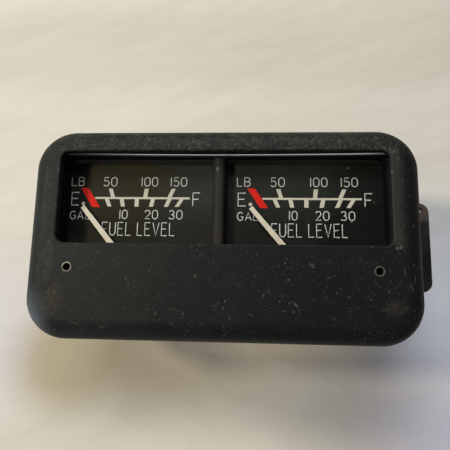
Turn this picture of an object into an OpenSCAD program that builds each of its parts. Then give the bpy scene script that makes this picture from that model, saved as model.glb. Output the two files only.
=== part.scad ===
// Twin-dial fuel quantity gauge, lying on its back
// X runs to the right of the dials, Y runs up them and Z points out of the face
// The origin is the middle of the four terminal studs, in the plane of their ends
// Depths, whose names start with d_, are measured back from the face

/* [Bezel] */
// Width of the bezel
bezel_w = 108; // [106:0.5:120]
// Height of the bezel
bezel_h = 59; // [58:0.5:70]
// Depth of the bezel from its face to its rear rim
bezel_d = 16; // [15:0.5:20]
// Corner radius of the bezel seen from the front
bezel_corner_r = 11.5; // [9:0.5:14]
// Radius that rolls the face into the sides
bezel_edge_r = 5.2; // [2:0.2:6]
// Thickness of the face
face_t = 3; // [2:0.1:3.2]
// Thickness of the skirt that takes the chassis and the case
skirt_t = 2.5; // [1.8:0.1:3]

/* [Window] */
// Width of the window
window_w = 91.2; // [88:0.2:92]
// Height of the window
window_h = 26; // [23:0.1:27]
// Distance from the bezel's top edge to the window
window_drop = 6.9; // [6.2:0.1:9]
// Corner radius of the window
window_r = 2.3; // [1:0.1:4]
// Radius that breaks the window's front edge
window_roll = 0.5; // [0.2:0.1:1]
// Depth of the window's rim from the face
rim_d = 1.7; // [1.4:0.1:2.6]
// Width of the rim below the window
rim_w = 2.4; // [1.6:0.1:3]

/* [Front inserts] */
// Distance between the two threaded inserts
insert_pitch = 83.4; // [80:0.2:86]
// Distance from the window's lower edge down to the inserts
insert_drop = 6.8; // [5.5:0.1:9]
// Outside diameter of an insert
insert_od = 2.9; // [2.6:0.1:4]
// Bore of an insert
insert_bore = 1.76; // [1.4:0.02:2.2]
// Length of an insert
insert_len = 6; // [4:0.5:6.5]
// Outside diameter of the boss round an insert
boss_od = 6; // [5:0.2:6.4]

/* [Lens] */
// Thickness of the lens
lens_t = 2; // [1.8:0.1:3]
// Width of the lens hidden behind the rim, left, right and below
lens_lap = 1.2; // [0.8:0.1:1.4]
// Thickness of the gasket between the rim and the lens
gasket_t = 0.5; // [0.3:0.1:1]

/* [Dials] */
// Distance between the two pointer axes
dial_pitch = 49.1; // [47:0.1:51]
// Sideways offset of the pair of dials
dial_shift = -0.95; // [-1.5:0.05:1.5]
// Distance from the window's lower edge down to the pointer axes
pivot_drop = 7.1; // [6.8:0.1:8]
// Thickness of a dial
dial_t = 0.8; // [0.5:0.1:1.2]
// Radius of the hole in a dial for the staff
dial_hole_r = 3; // [2:0.1:4]
// Depth of the mask that frames the dials
mask_t = 4.1; // [3.2:0.1:5]
// Width of the mask's bars above and below the dials
mask_bar = 2.2; // [1.5:0.1:2.4]
// Width of the divider between the dials
divider_w = 4; // [3:0.1:5]
// Radius that rounds the divider
divider_r = 1.8; // [0.5:0.1:2.4]
// Distance between the two posts behind the top of a dial
post_pitch = 32; // [24:1:36]
// Distance from the window's top edge down to the posts
post_drop = 5; // [3:0.5:10]
// Radius of a dial post
post_r = 2; // [1.5:0.1:2.5]
// Distance from the dials to the chassis
post_len = 2.5; // [2.2:0.1:4]

/* [Pointers] */
// Length of a pointer from its axis
pointer_len = 24.3; // [20:0.1:27]
// Angle of a resting pointer to the left of straight up
pointer_rest = 40.2; // [30:0.2:44]
// Angle that a pointer sweeps from stop to stop
pointer_sweep = 78; // [60:1:84]
// Width of a pointer at its axis
pointer_root_w = 1.8; // [1.4:0.1:3]
// Width of a pointer at its tip
pointer_tip_w = 1.3; // [0.6:0.05:2]
// Thickness of a pointer
pointer_t = 0.35; // [0.2:0.05:0.5]
// Gap between a pointer and its dial
pointer_lift = 1.05; // [0.9:0.05:1.3]
// Radius of a pointer's hub
hub_r = 1.7; // [1.3:0.1:2.2]
// Height of a pointer's hub
hub_h = 0.9; // [0.7:0.05:1]
// Radius of a balance arm
arm_r = 0.35; // [0.25:0.05:0.4]
// Length of the balance arm behind the pointer
tail_len = 6.6; // [5:0.1:7]
// Length of the two balance arms beside the pointer
side_len = 5.4; // [4:0.1:6]
// Radius of a balance weight
weight_r = 0.75; // [0.5:0.05:0.85]
// Length of a balance weight
weight_len = 1.6; // [1:0.1:2.2]
// Distance of the two stops from a pointer's axis
stop_ring = 8; // [7.6:0.1:9]
// Radius of a stop
stop_r = 0.4; // [0.3:0.05:0.6]

/* [Movements] */
// Radius of the core magnet
core_r = 7; // [6:0.1:7.4]
// Length of the core magnet and the yoke
core_len = 12; // [10:0.5:15]
// Gap between the core and the coil former
coil_gap = 0.5; // [0.4:0.05:0.7]
// Gap between the core's ends and the coil former
end_gap = 0.8; // [0.5:0.1:1.2]
// Thickness of the coil former
former_t = 0.5; // [0.3:0.05:0.7]
// Thickness of the winding
winding_t = 1.2; // [0.8:0.1:1.4]
// Width of the coil along its path
coil_w = 3.2; // [2.4:0.1:4]
// Gap between the coil and the yoke
yoke_gap = 0.65; // [0.5:0.05:0.9]
// Thickness of the yoke ring
yoke_t = 2.6; // [2.2:0.1:2.8]
// Thickness of the yoke's lugs
lug_t = 3; // [2:0.2:5]
// Radius of a lug
lug_r = 2.3; // [2:0.1:2.5]
// Radius of a core pin
pin_r = 0.8; // [0.6:0.05:1]
// Depth of a core pin in the core
pin_grip = 3; // [2:0.2:4]
// Radius of the staffs
staff_r = 0.6; // [0.5:0.05:0.7]
// Radius of the foot that joins a staff to the coil
foot_r = 1.6; // [1.2:0.1:1.6]
// Thickness of a foot
foot_t = 0.6; // [0.4:0.1:0.7]
// Radius of a pivot where its cone starts
pivot_r = 0.3; // [0.2:0.02:0.36]
// Length of a pivot's cone
pivot_len = 0.5; // [0.4:0.05:0.6]
// Radius of a hairspring's collet
collet_r = 1.2; // [1:0.05:1.4]
// Height of a collet
collet_h = 0.8; // [0.6:0.05:0.9]
// Outer radius of a hairspring
spring_r = 5.2; // [4.5:0.1:5.6]
// Thickness of a hairspring's ribbon
spring_t = 0.16; // [0.1:0.02:0.24]
// Width of a hairspring's ribbon
spring_h = 0.5; // [0.3:0.05:0.6]
// Turns of a hairspring
spring_turns = 4.5; // [3:0.5:5]
// Width of the arm that holds a hairspring's outer end
holder_w = 1.6; // [1.2:0.1:2]

/* [Bridges] */
// Radius of a pillar
pillar_r = 1.6; // [1.4:0.1:1.8]
// Radius of a pillar's collar, which carries the dial
collar_r = 2.5; // [2.2:0.1:2.7]
// Angle of a pillar to either side of straight down
pillar_angle = 48; // [45:1:55]
// Thickness of a bridge
bridge_t = 1.2; // [1:0.1:1.3]
// Width of a bridge's two limbs
limb_w = 4; // [3:0.2:4.6]
// Radius of a bridge's boss round the jewel screw
bridge_boss_r = 3.2; // [2.6:0.1:3.4]
// Radius of a bridge's ends round the pillars
bridge_end_r = 2.6; // [2.2:0.1:2.8]
// Radius of a jewel screw
jewel_screw_r = 1.3; // [1.1:0.05:1.5]
// Radius of a jewel
jewel_r = 0.8; // [0.6:0.05:0.9]
// Thickness of a jewel
jewel_t = 1; // [0.8:0.05:1.2]
// Size across flats of a jewel screw's nut
jewel_nut_af = 4.2; // [3.6:0.1:4.6]
// Thickness of a jewel screw's nut
jewel_nut_t = 0.8; // [0.6:0.1:0.9]
// Gap from a pointer's hub to the front jewel screw
jewel_gap = 0.35; // [0.25:0.05:0.45]
// How far a jewel screw stands out of its bridge towards the coil
jewel_out = 0.8; // [0.6:0.1:0.9]

/* [Chassis] */
// Thickness of the chassis plate
chassis_t = 2; // [1.5:0.1:3]
// Clearance between the chassis, the case and the skirt
case_gap = 0.4; // [0.2:0.05:0.6]
// Height of the upper chassis screws above the bezel's middle
chassis_screw_up = 13; // [8:0.5:15]
// Depth of the lower chassis screws below the bezel's middle
chassis_screw_down = 15; // [8:0.5:15]

/* [Case] */
// Thickness of the case's wall
case_wall = 1.2; // [0.8:0.1:1.6]
// Radius that rolls the case's back into its sides
case_roll = 2.6; // [2:0.1:4]
// Distance of the standoffs from the case's walls
standoff_inset = 6; // [5:0.2:6.4]
// Size across flats of a standoff
standoff_af = 5; // [4.5:0.1:5.5]
// Radius of a standoff's spigot in the chassis
spigot_r = 1.5; // [1.2:0.1:1.8]
// Room for the leads between the movements and the terminals
lead_room = 4.8; // [4:0.2:10]
// Radius of a lead
lead_r = 0.5; // [0.3:0.05:0.7]

/* [Terminals] */
// Distance between the studs across the board
stud_pitch_x = 46; // [40:1:48]
// Distance between the studs up the board
stud_pitch_y = 20; // [16:0.5:22]
// Radius of a stud's free thread
stud_r = 1.75; // [1.5:0.05:2]
// Depth of a stud's thread
stud_thread = 0.5; // [0.36:0.02:0.7]
// Length of a stud beyond the case
stud_out = 13; // [9:0.5:18]
// Thickness of the terminal board
board_t = 2; // [1.5:0.1:3]
// Width of the board behind the edge of the case's opening
board_lap = 5; // [4:0.2:5.5]
// Distance from the studs to the edge of the case's opening
opening_margin = 6; // [5:0.2:7]
// Size across flats of a stud's head and nut
stud_nut_af = 6.4; // [5.5:0.1:7]
// Thickness of a stud's head
stud_head_t = 1.8; // [1.2:0.1:2.4]
// Thickness of a stud's nut
stud_nut_t = 2.6; // [2:0.1:3.2]
// Radius of a stud's washer
washer_r = 3.6; // [3.2:0.1:4.2]
// Thickness of a stud's washer
washer_t = 0.6; // [0.4:0.1:1]

/* [Bracket] */
// How far the bracket stands out beyond the bezel
ear_out = 6.7; // [4:0.1:9]
// Height of the bracket
ear_h = 26.5; // [20:0.5:30]
// Height of the bracket's middle above the bezel's middle
ear_y = -1.55; // [-4:0.05:4]
// Thickness of the bracket
ear_t = 1.5; // [1:0.1:2]
// Corner radius of the bracket
ear_r = 3; // [1:0.1:4]
// Radius of the bracket's hole
ear_hole_r = 0.8; // [0.6:0.05:1.2]
// Distance of the hole from the bracket's outer edge
ear_hole_in = 2.6; // [2.1:0.1:3]
// Distance of the hole from the bracket's upper edge
ear_hole_down = 2.2; // [2.1:0.1:5]
// Length of the bracket's leg along the case
ear_leg = 16; // [12:0.5:17]
// Distance between the bracket's two rivets
ear_rivet_pitch = 14; // [10:0.5:16]
// Distance of the rivets behind the bracket's ear
ear_rivet_back = 9.6; // [6:0.2:13]

/* [Fasteners] */
// Radius of the small screws' shanks
screw_r = 0.8; // [0.6:0.05:0.9]
// Radius of the small screws' heads
screw_head_r = 1.5; // [1.3:0.05:1.7]
// Height of the small screws' heads
screw_head_h = 0.9; // [0.6:0.05:0.95]
// Length of the small screws' threads in what they hold
screw_grip = 3.5; // [2:0.1:4]
// Length of the chassis screws' threads in the bezel
chassis_grip = 5; // [4:0.2:5.5]
// Radius of the case screws' shanks
case_screw_r = 1.1; // [0.9:0.05:1.3]
// Radius of the case screws' heads
case_head_r = 2.2; // [1.8:0.1:2.6]
// Height of the case screws' heads
case_head_h = 1.5; // [1:0.1:2]
// Length of the case screws' threads in the standoffs
case_grip = 7; // [5:0.5:10]
// Width of a screwdriver slot
slot_w = 0.5; // [0.3:0.05:0.7]
// Depth of a screwdriver slot
slot_d = 0.45; // [0.3:0.05:0.55]
// Radius of the rivets' shanks
rivet_r = 1.2; // [0.9:0.05:1.3]
// Radius of the rivets' heads
rivet_head_r = 2; // [1.6:0.05:2.2]
// Height of the rivets' heads
rivet_head_h = 0.8; // [0.6:0.05:1]

/* [Hidden] */
$fn = 72;

// Clearance of pieces that are pressed, screwed or riveted together
fit = 0.02;
// Clearance of pieces that lie in a pocket or close to a neighbour
slack = 0.1;
// Gap between the bezel's rear rim and the bracket
rim_gap = 0.3;
// Gap between a yoke and the pillars beside it
pillar_gap = 0.7;
// Gap from a rear hairspring to the coil's foot and to the jewel screw
spring_gap = 0.5;
// How far a pointer's hub reaches further back than forward of the blade
hub_drop = 0.1;
// Length of a rear jewel screw beyond its nut
jewel_tail = 0.4;
// Overshoot of a cut
over = 1;

// Places on the face
window_top = bezel_h / 2 - window_drop;
window_bottom = window_top - window_h;
pivot_y = window_bottom - pivot_drop;
pivot_x = [dial_shift - dial_pitch / 2, dial_shift + dial_pitch / 2];
insert_y = window_bottom - insert_drop;
post_y = window_top - post_drop;

// Radii of a movement, from the core outwards
former_in = core_r + coil_gap;
former_out = former_in + former_t;
coil_out = former_out + winding_t;
yoke_in = norm([coil_out, coil_w / 2]) + yoke_gap;
yoke_out = yoke_in + yoke_t;
lug_x = yoke_out + lug_r / 2;
holder_foot = yoke_in + yoke_t / 2;
pillar_ring = yoke_out + pillar_r + pillar_gap;
pillar_x = pillar_ring * sin(pillar_angle);
pillar_y = -pillar_ring * cos(pillar_angle);

// Depths from the face to the chassis
d_lens = rim_d + gasket_t;
d_mask = d_lens + lens_t;
d_dial = d_mask + mask_t;
d_dial_back = d_dial + dial_t;
d_chassis = d_dial_back + post_len;
d_yoke = d_chassis + chassis_t;

// Depths of a movement's front end
d_pointer = d_dial - pointer_lift - pointer_t;
d_hub = d_pointer + pointer_t / 2 - hub_h / 2 + hub_drop;
d_front_jewel = d_hub - jewel_gap;
d_front_bridge = d_front_jewel - jewel_out - bridge_t;
d_coil = d_yoke - end_gap - former_t - winding_t;
d_front_spring = (d_dial_back + d_coil - foot_t - spring_h) / 2;

// Depths of a movement's rear end
d_yoke_back = d_yoke + core_len;
d_coil_back = d_yoke_back + end_gap + former_t + winding_t;
d_rear_spring = d_coil_back + foot_t + spring_gap;
d_rear_jewel = d_rear_spring + spring_h + spring_gap;
d_rear_bridge = d_rear_jewel + jewel_out;
d_jewel_end = d_rear_bridge + bridge_t + jewel_nut_t + jewel_tail;

// Depths from the leads to the stud ends
d_stud_head = d_jewel_end + lead_room;
d_board = d_stud_head + stud_head_t;
d_case_in = d_board + board_t;
d_case_back = d_case_in + case_wall;
d_bracket = bezel_d + rim_gap;
total_d = d_case_back + stud_out;

// Outlines behind the face
lens_w = window_w + 2 * lens_lap;
cavity_w = lens_w + 6 * slack;
cavity_top = window_top + mask_bar + slack;
cavity_bottom = pivot_y + pillar_y - collar_r - mask_bar - 3 * slack;
skirt_w = bezel_w - 2 * skirt_t;
skirt_h = bezel_h - 2 * skirt_t;
skirt_r = bezel_corner_r - skirt_t;
case_w = skirt_w - 2 * case_gap;
case_h = skirt_h - 2 * case_gap;
case_r = skirt_r - case_gap;
opening_w = stud_pitch_x + 2 * opening_margin;
opening_h = stud_pitch_y + 2 * opening_margin;

// Left and right edges of each dial
dial_edges = [
    [-cavity_w / 2 + slack, dial_shift - slack],
    [dial_shift + slack, cavity_w / 2 - slack]
];

// Places of the fasteners
standoff_x = case_w / 2 - case_wall - standoff_inset;
standoff_y = case_h / 2 - case_wall - standoff_inset;
chassis_screw_x = (cavity_w / 2 + case_w / 2) / 2;
board_rivet_x = opening_w / 2 + board_lap / 2;
board_rivet_y = stud_pitch_y / 2;
// A nut grips its stud on the thread's flanks, halfway down the thread
stud_grip_r = stud_r - stud_thread / 2;

// Height of a depth
function at(depth) = total_d - depth;

// Direction of a vector
function unit(v) = v / norm(v);

// Flat outline made solid between two depths
module slab(front, back) {
    translate([0, 0, at(back)]) linear_extrude(back - front) children();
}

// Round bar between two depths, with its radius at each
module rod(front, back, r_front, r_back) {
    translate([0, 0, at(back)]) cylinder(h = back - front, r1 = r_back, r2 = r_front);
}

// Square bar between two depths
module bar(w, h, front, back) {
    slab(front, back) square([w, h], center = true);
}

// Rectangle between two corners
module panel(left, right, bottom, top) {
    translate([left, bottom]) square([right - left, top - bottom]);
}

// Rectangle with round corners, centred
module rounded(w, h, r) {
    square([w - 2 * r, h], center = true);
    square([w, h - 2 * r], center = true);
    for (x = [-1, 1], y = [-1, 1])
        translate([x * (w / 2 - r), y * (h / 2 - r)]) circle(r);
}

// Hexagon by its size across flats
module hexagon(af) {
    circle(r = af / sqrt(3), $fn = 6);
}

// Section that starts on an axis and ends in a rolled edge
module half_section(w, d, r) {
    square([w - r, d]);
    square([w, d - r]);
    intersection() {
        translate([w - r, d - r]) circle(r);
        square([w, d]);
    }
}

// Section with a rolled edge on both sides
module full_section(w, d, r) {
    half_section(w / 2, d, r);
    mirror([1, 0]) half_section(w / 2, d, r);
}

// Block with round corners whose upper edge is rolled
module rolled_block(w, h, d, corner_r, edge_r) {
    x = w / 2 - corner_r;
    y = h / 2 - corner_r;
    rotate([90, 0, 90]) translate([0, 0, -x]) linear_extrude(2 * x) full_section(h, d, edge_r);
    for (turn = [0, 180])
        rotate([0, 0, turn])
            translate([x, y, 0]) rotate([90, 0, 0]) linear_extrude(2 * y)
                half_section(corner_r, d, edge_r);
    for (side = [-1, 1], end = [0, 180])
        rotate([0, 0, end]) translate([x, side * y, 0]) rotate([0, 0, side > 0 ? 0 : -90])
            rotate_extrude(angle = 90) half_section(corner_r, d, edge_r);
}

// Sliver between a square edge and its rounding
module edge_sliver(r) {
    difference() {
        translate([-over, -r]) square([r + over, r + over]);
        translate([r, -r]) circle(r);
    }
}

// Cut that rounds the upper edge of an opening with round corners
module opening_roll(w, h, corner_r, r) {
    x = w / 2 - corner_r;
    y = h / 2 - corner_r;
    for (turn = [0, 180])
        rotate([0, 0, turn]) {
            translate([w / 2, y, 0]) rotate([90, 0, 0]) linear_extrude(2 * y) edge_sliver(r);
            translate([-x, h / 2, 0]) rotate([90, 0, 90]) linear_extrude(2 * x) edge_sliver(r);
            for (side = [-1, 1])
                translate([x, side * y, 0]) rotate([0, 0, side > 0 ? 0 : -90])
                    rotate_extrude(angle = 90) translate([corner_r, 0]) edge_sliver(r);
        }
}

// Window outline on the face
module window_outline() {
    translate([0, (window_top + window_bottom) / 2]) rounded(window_w, window_h, window_r);
}

// Children at both pointer axes
module at_movements() {
    for (x = pivot_x) translate([x, pivot_y, 0]) children();
}

// Children at both pillars of a movement
module at_pillars() {
    for (side = [-1, 1]) translate([side * pillar_x, pillar_y, 0]) children();
}

// Children at the four corners of a rectangle
module at_corners(x, y) {
    for (i = [-1, 1], j = [-1, 1]) translate([i * x, j * y, 0]) children();
}

// Children at the four chassis screws
module at_chassis_screws() {
    for (x = [-1, 1], y = [chassis_screw_up, -chassis_screw_down])
        translate([x * chassis_screw_x, y, 0]) children();
}

// Screw whose head lies in front of a depth and whose shank runs back from it
module front_screw(depth, shank, r, head_r, head_h) {
    difference() {
        union() {
            rod(depth - head_h, depth, head_r, head_r);
            rod(depth - head_h / 2, depth + shank, r, r);
        }
        bar(3 * head_r, slot_w, depth - head_h - over, depth - head_h + slot_d);
    }
}

// Screw whose head lies behind a depth and whose shank runs forward from it
module rear_screw(depth, shank, r, head_r, head_h) {
    difference() {
        union() {
            rod(depth, depth + head_h, head_r, head_r);
            rod(depth - shank, depth + head_h / 2, r, r);
        }
        bar(3 * head_r, slot_w, depth + head_h - slot_d, depth + head_h + over);
    }
}

// Ring of points around a route
function ring(p, along, r, sides) =
    let (u = unit(cross(along, [1, 0.35, 0])), v = cross(along, u))
    [for (k = [0 : sides - 1]) p + r * (cos(360 * k / sides) * u + sin(360 * k / sides) * v)];

// Wire along a route that starts and ends straight up
module wire(route, r, sides = 8) {
    last = len(route) - 1;
    along = [for (i = [0 : last]) i == 0 || i == last ? [0, 0, 1] : unit(route[i + 1] - route[i - 1])];
    points = [for (i = [0 : last]) each ring(route[i], along[i], r, sides)];
    walls = [for (i = [0 : last - 1], k = [0 : sides - 1])
        let (a = i * sides + k, b = i * sides + (k + 1) % sides)
        each [[a, a + sides, b + sides], [a, b + sides, b]]];
    foot = [for (k = [0 : sides - 1]) k];
    top = [for (k = [sides - 1 : -1 : 0]) last * sides + k];
    polyhedron(points, concat([foot], walls, [top]));
}

// Flat spiral ribbon that ends straight above its axis
module spiral(r_start, r_end, turns, ribbon) {
    steps = ceil(24 * turns);
    side = [for (i = [0 : steps])
        let (f = i / steps, a = 90 - 360 * turns * (1 - f))
        [r_start + (r_end - r_start) * f, a]];
    outer = [for (s = side) (s[0] + ribbon / 2) * [cos(s[1]), sin(s[1])]];
    inner = [for (i = [steps : -1 : 0]) (side[i][0] - ribbon / 2) * [cos(side[i][1]), sin(side[i][1])]];
    polygon(concat(outer, inner));
}

// Moulded black bezel with a ledge for the chassis
module bezel() {
    color([0.13, 0.13, 0.12]) difference() {
        union() {
            difference() {
                translate([0, 0, at(bezel_d)])
                    rolled_block(bezel_w, bezel_h, bezel_d, bezel_corner_r, bezel_edge_r);
                slab(d_chassis, bezel_d + over) rounded(skirt_w, skirt_h, skirt_r);
                slab(d_mask, d_chassis + over)
                    panel(-cavity_w / 2, cavity_w / 2, cavity_bottom, cavity_top);
                slab(face_t, d_mask + over)
                    panel(-cavity_w / 2, cavity_w / 2, cavity_bottom, window_bottom - rim_w);
                slab(rim_d, d_mask + over)
                    panel(-lens_w / 2 - slack, lens_w / 2 + slack,
                        window_bottom - lens_lap - slack, window_top);
                slab(-over, rim_d + over) window_outline();
            }
            for (x = [-1, 1])
                translate([x * insert_pitch / 2, insert_y, 0])
                    rod(face_t / 2, insert_len + over, boss_od / 2, boss_od / 2);
        }
        for (x = [-1, 1])
            translate([x * insert_pitch / 2, insert_y, 0])
                rod(-over, insert_len, insert_od / 2 + fit, insert_od / 2 + fit);
        at_chassis_screws()
            rod(d_chassis - chassis_grip - slack, d_chassis + over, screw_r + fit, screw_r + fit);
        translate([0, (window_top + window_bottom) / 2, at(0)])
            opening_roll(window_w, window_h, window_r, window_roll);
    }
}

// Brass threaded inserts in the lower face
module thread_inserts() {
    color([0.72, 0.53, 0.25])
        for (x = [-1, 1])
            translate([x * insert_pitch / 2, insert_y, 0]) difference() {
                rod(0, insert_len, insert_od / 2, insert_od / 2);
                rod(-over, insert_len + over, insert_bore / 2, insert_bore / 2);
            }
}

// Gasket on three sides of the lens
module lens_gasket() {
    color([0.07, 0.07, 0.07])
        slab(rim_d, d_lens) difference() {
            panel(-lens_w / 2, lens_w / 2, window_bottom - lens_lap, window_top - slack);
            panel(-window_w / 2, window_w / 2, window_bottom, window_top + over);
        }
}

// Clear lens whose upper edge shows in the window
module lens() {
    color([0.8, 0.85, 0.85, 0.35])
        slab(d_lens, d_mask)
            panel(-lens_w / 2, lens_w / 2, window_bottom - lens_lap, window_top - slack);
}

// Black mask that frames both dials, with the divider between them
module dial_mask() {
    low = cavity_bottom + slack + mask_bar;
    rise = mask_t - slack;
    round_r = min(divider_r, rise - slack, divider_w / 2 - slack);
    color([0.05, 0.05, 0.05]) union() {
        slab(d_mask, d_dial) difference() {
            panel(-cavity_w / 2 + slack, cavity_w / 2 - slack, cavity_bottom + slack, cavity_top - slack);
            translate([0, (window_top + low) / 2]) rounded(window_w, window_top - low, window_r);
        }
        translate([dial_shift, window_top + mask_bar / 2, at(d_dial)]) rotate([90, 0, 0])
            linear_extrude(window_top - low + mask_bar) full_section(divider_w, rise, round_r);
    }
}

// Dial plate of one side, 0 left and 1 right
module dial(side) {
    edges = dial_edges[side];
    color([0.09, 0.09, 0.08])
        slab(d_dial, d_dial_back) difference() {
            panel(edges[0], edges[1], cavity_bottom + slack, cavity_top - slack);
            translate([pivot_x[side], pivot_y]) {
                circle(dial_hole_r);
                at_pillars() circle(pillar_r + slack);
            }
        }
}

// Posts that carry the tops of the dials
module dial_posts() {
    color([0.7, 0.68, 0.62])
        for (edges = dial_edges, side = [-1, 1])
            translate([(edges[0] + edges[1] + side * post_pitch) / 2, post_y, 0])
                rod(d_dial_back, d_chassis, post_r, post_r);
}

// Stops at both ends of a pointer's sweep
module stop_pins() {
    half = pointer_root_w + (pointer_tip_w - pointer_root_w) * stop_ring / pointer_len;
    swing = asin((half / 2 + stop_r + slack) / stop_ring);
    color([0.75, 0.7, 0.55])
        at_movements()
            for (a = [pointer_rest + swing, pointer_rest - pointer_sweep - swing])
                rotate([0, 0, a]) translate([0, stop_ring, 0])
                    rod(d_pointer - pointer_t, d_dial, stop_r, stop_r);
}

// Children turned to the resting pointer of one side
module at_pointer(side) {
    translate([pivot_x[side], pivot_y, 0]) rotate([0, 0, pointer_rest]) children();
}

// Round arm that points away from the axis
module balance_arm(turn, from, to, r) {
    middle = d_hub + hub_h / 2;
    translate([0, 0, at(middle)]) rotate([0, 0, turn]) rotate([-90, 0, 0])
        translate([0, 0, from]) cylinder(h = to - from, r = r);
}

// Cream pointer with its hub and balance arms
module pointer(side) {
    color([0.83, 0.78, 0.66]) at_pointer(side) difference() {
        union() {
            slab(d_pointer, d_pointer + pointer_t)
                polygon([
                    [-pointer_root_w / 2, 0], [pointer_root_w / 2, 0],
                    [pointer_tip_w / 2, pointer_len], [-pointer_tip_w / 2, pointer_len]
                ]);
            rod(d_hub, d_hub + hub_h, hub_r, hub_r);
            balance_arm(180, hub_r / 2, tail_len, arm_r);
            for (turn = [90, -90]) balance_arm(turn, hub_r / 2, side_len, arm_r);
        }
        rod(d_hub - over, d_hub + hub_h + over, staff_r + fit, staff_r + fit);
    }
}

// Sleeves that slide along the balance arms
module balance_weights(side) {
    color([0.65, 0.65, 0.63]) at_pointer(side)
        for (place = [[180, tail_len], [90, side_len], [-90, side_len]]) difference() {
            end = place[1] - slack;
            balance_arm(place[0], end - weight_len, end, weight_r);
            balance_arm(place[0], end - weight_len - over, end + over, arm_r + fit);
        }
}

// Front and rear half staffs, which are cemented to the coil
module staffs(side) {
    color([0.75, 0.76, 0.78]) at_pointer(side) {
        union() {
            rod(d_coil - foot_t, d_coil, foot_r, foot_r);
            rod(d_hub, d_coil - foot_t / 2, staff_r, staff_r);
            rod(d_front_jewel, d_hub + hub_h / 2, pivot_r, pivot_r);
            rod(d_front_jewel - pivot_len, d_front_jewel, pivot_r / 5, pivot_r);
        }
        union() {
            rod(d_coil_back, d_coil_back + foot_t, foot_r, foot_r);
            rod(d_coil_back + foot_t / 2, d_rear_spring + spring_h + slack, staff_r, staff_r);
            rod(d_rear_spring, d_rear_jewel, pivot_r, pivot_r);
            rod(d_rear_jewel, d_rear_jewel + pivot_len, pivot_r, pivot_r / 5);
        }
    }
}

// Collets that hold the inner ends of the hairsprings
module spring_collets(side) {
    color([0.8, 0.65, 0.35]) at_pointer(side)
        for (depth = [d_front_spring, d_rear_spring]) difference() {
            front = depth + (spring_h - collet_h) / 2;
            back = min(front + collet_h, depth + spring_h + slack);
            rod(front, back, collet_r, collet_r);
            rod(front - over, back + over, staff_r + fit, staff_r + fit);
        }
}

// Children turned to the resting coil of one side
module at_coil(side) {
    translate([pivot_x[side], pivot_y, 0]) rotate([0, 0, pointer_sweep / 2]) children();
}

// Aluminium frame that the coil is wound on
module coil_former(side) {
    color([0.75, 0.76, 0.77]) at_coil(side) difference() {
        bar(2 * former_out, coil_w, d_coil + winding_t, d_coil_back - winding_t);
        bar(2 * former_in, coil_w + over, d_yoke - end_gap, d_yoke_back + end_gap);
    }
}

// Copper winding on the former
module coil_winding(side) {
    color([0.72, 0.36, 0.18]) at_coil(side) difference() {
        bar(2 * coil_out, coil_w, d_coil, d_coil_back);
        bar(2 * former_out, coil_w + over, d_coil + winding_t, d_coil_back - winding_t);
    }
}

// Hairspring of one side at a depth
module hairspring(side, depth) {
    start = collet_r + fit + spring_t / 2;
    end = spring_r - fit - spring_t / 2;
    color([0.78, 0.6, 0.3]) translate([pivot_x[side], pivot_y, 0])
        slab(depth, depth + spring_h) spiral(start, end, spring_turns, spring_t);
}

// Bent arms that hold the outer ends of the hairsprings
module spring_holders() {
    foot = holder_foot - holder_w / 2;
    tip = holder_foot + holder_w / 2;
    color([0.76, 0.6, 0.32]) at_movements() {
        union() {
            slab(d_front_spring, d_front_spring + spring_h)
                panel(-holder_w / 2, holder_w / 2, spring_r, tip);
            slab(d_front_spring + spring_h / 2, d_chassis)
                panel(-holder_w / 2, holder_w / 2, foot, tip);
        }
        union() {
            slab(d_rear_spring, d_rear_spring + spring_h)
                panel(-holder_w / 2, holder_w / 2, spring_r, tip);
            slab(d_yoke_back + spring_h, d_rear_spring + spring_h / 2)
                panel(-holder_w / 2, holder_w / 2, foot, tip);
        }
    }
}

// Fibre pads that insulate the rear spring holders from the yokes
module holder_pads() {
    color([0.55, 0.3, 0.18]) at_movements()
        slab(d_yoke_back, d_yoke_back + spring_h)
            translate([0, holder_foot]) square([holder_w + 2 * slack, holder_w + 2 * slack], center = true);
}

// Magnet in the middle of the coil
module core_magnet(side) {
    color([0.35, 0.36, 0.38]) translate([pivot_x[side], pivot_y, 0]) difference() {
        rod(d_yoke, d_yoke_back, core_r, core_r);
        for (turn = [0, 180])
            core_pin_shape(turn, core_r - pin_grip - slack, core_r + over, pin_r + fit);
    }
}

// Round bar halfway along the core, pointing away from the axis
module core_pin_shape(turn, from, to, r) {
    translate([0, 0, at((d_yoke + d_yoke_back) / 2)]) rotate([0, 0, turn]) rotate([-90, 0, 0])
        translate([0, 0, from]) cylinder(h = to - from, r = r);
}

// Brass pins that hold the core in the yoke, clear of the coil's sweep
module core_pins() {
    color([0.78, 0.6, 0.3]) at_movements()
        for (turn = [0, 180]) core_pin_shape(turn, core_r - pin_grip, yoke_out - slack, pin_r);
}

// Soft iron yoke with two lugs
module yoke_ring(side) {
    color([0.5, 0.5, 0.5]) translate([pivot_x[side], pivot_y, 0]) difference() {
        union() {
            rod(d_yoke, d_yoke_back, yoke_out, yoke_out);
            for (x = [-1, 1]) translate([x * lug_x, 0, 0]) rod(d_yoke, d_yoke + lug_t, lug_r, lug_r);
        }
        rod(d_yoke - over, d_yoke_back + over, yoke_in, yoke_in);
        for (x = [-1, 1])
            translate([x * lug_x, 0, 0])
                rod(d_yoke - over, d_yoke + lug_t + over, screw_r + fit, screw_r + fit);
        for (turn = [0, 180]) core_pin_shape(turn, yoke_in - over, yoke_out + over, pin_r + fit);
    }
}

// Screws that hold the yokes to the chassis
module yoke_screws() {
    color([0.7, 0.7, 0.7]) at_movements()
        for (x = [-1, 1])
            translate([x * lug_x, 0, 0])
                front_screw(d_chassis, chassis_t + lug_t, screw_r, screw_head_r, screw_head_h);
}

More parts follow.
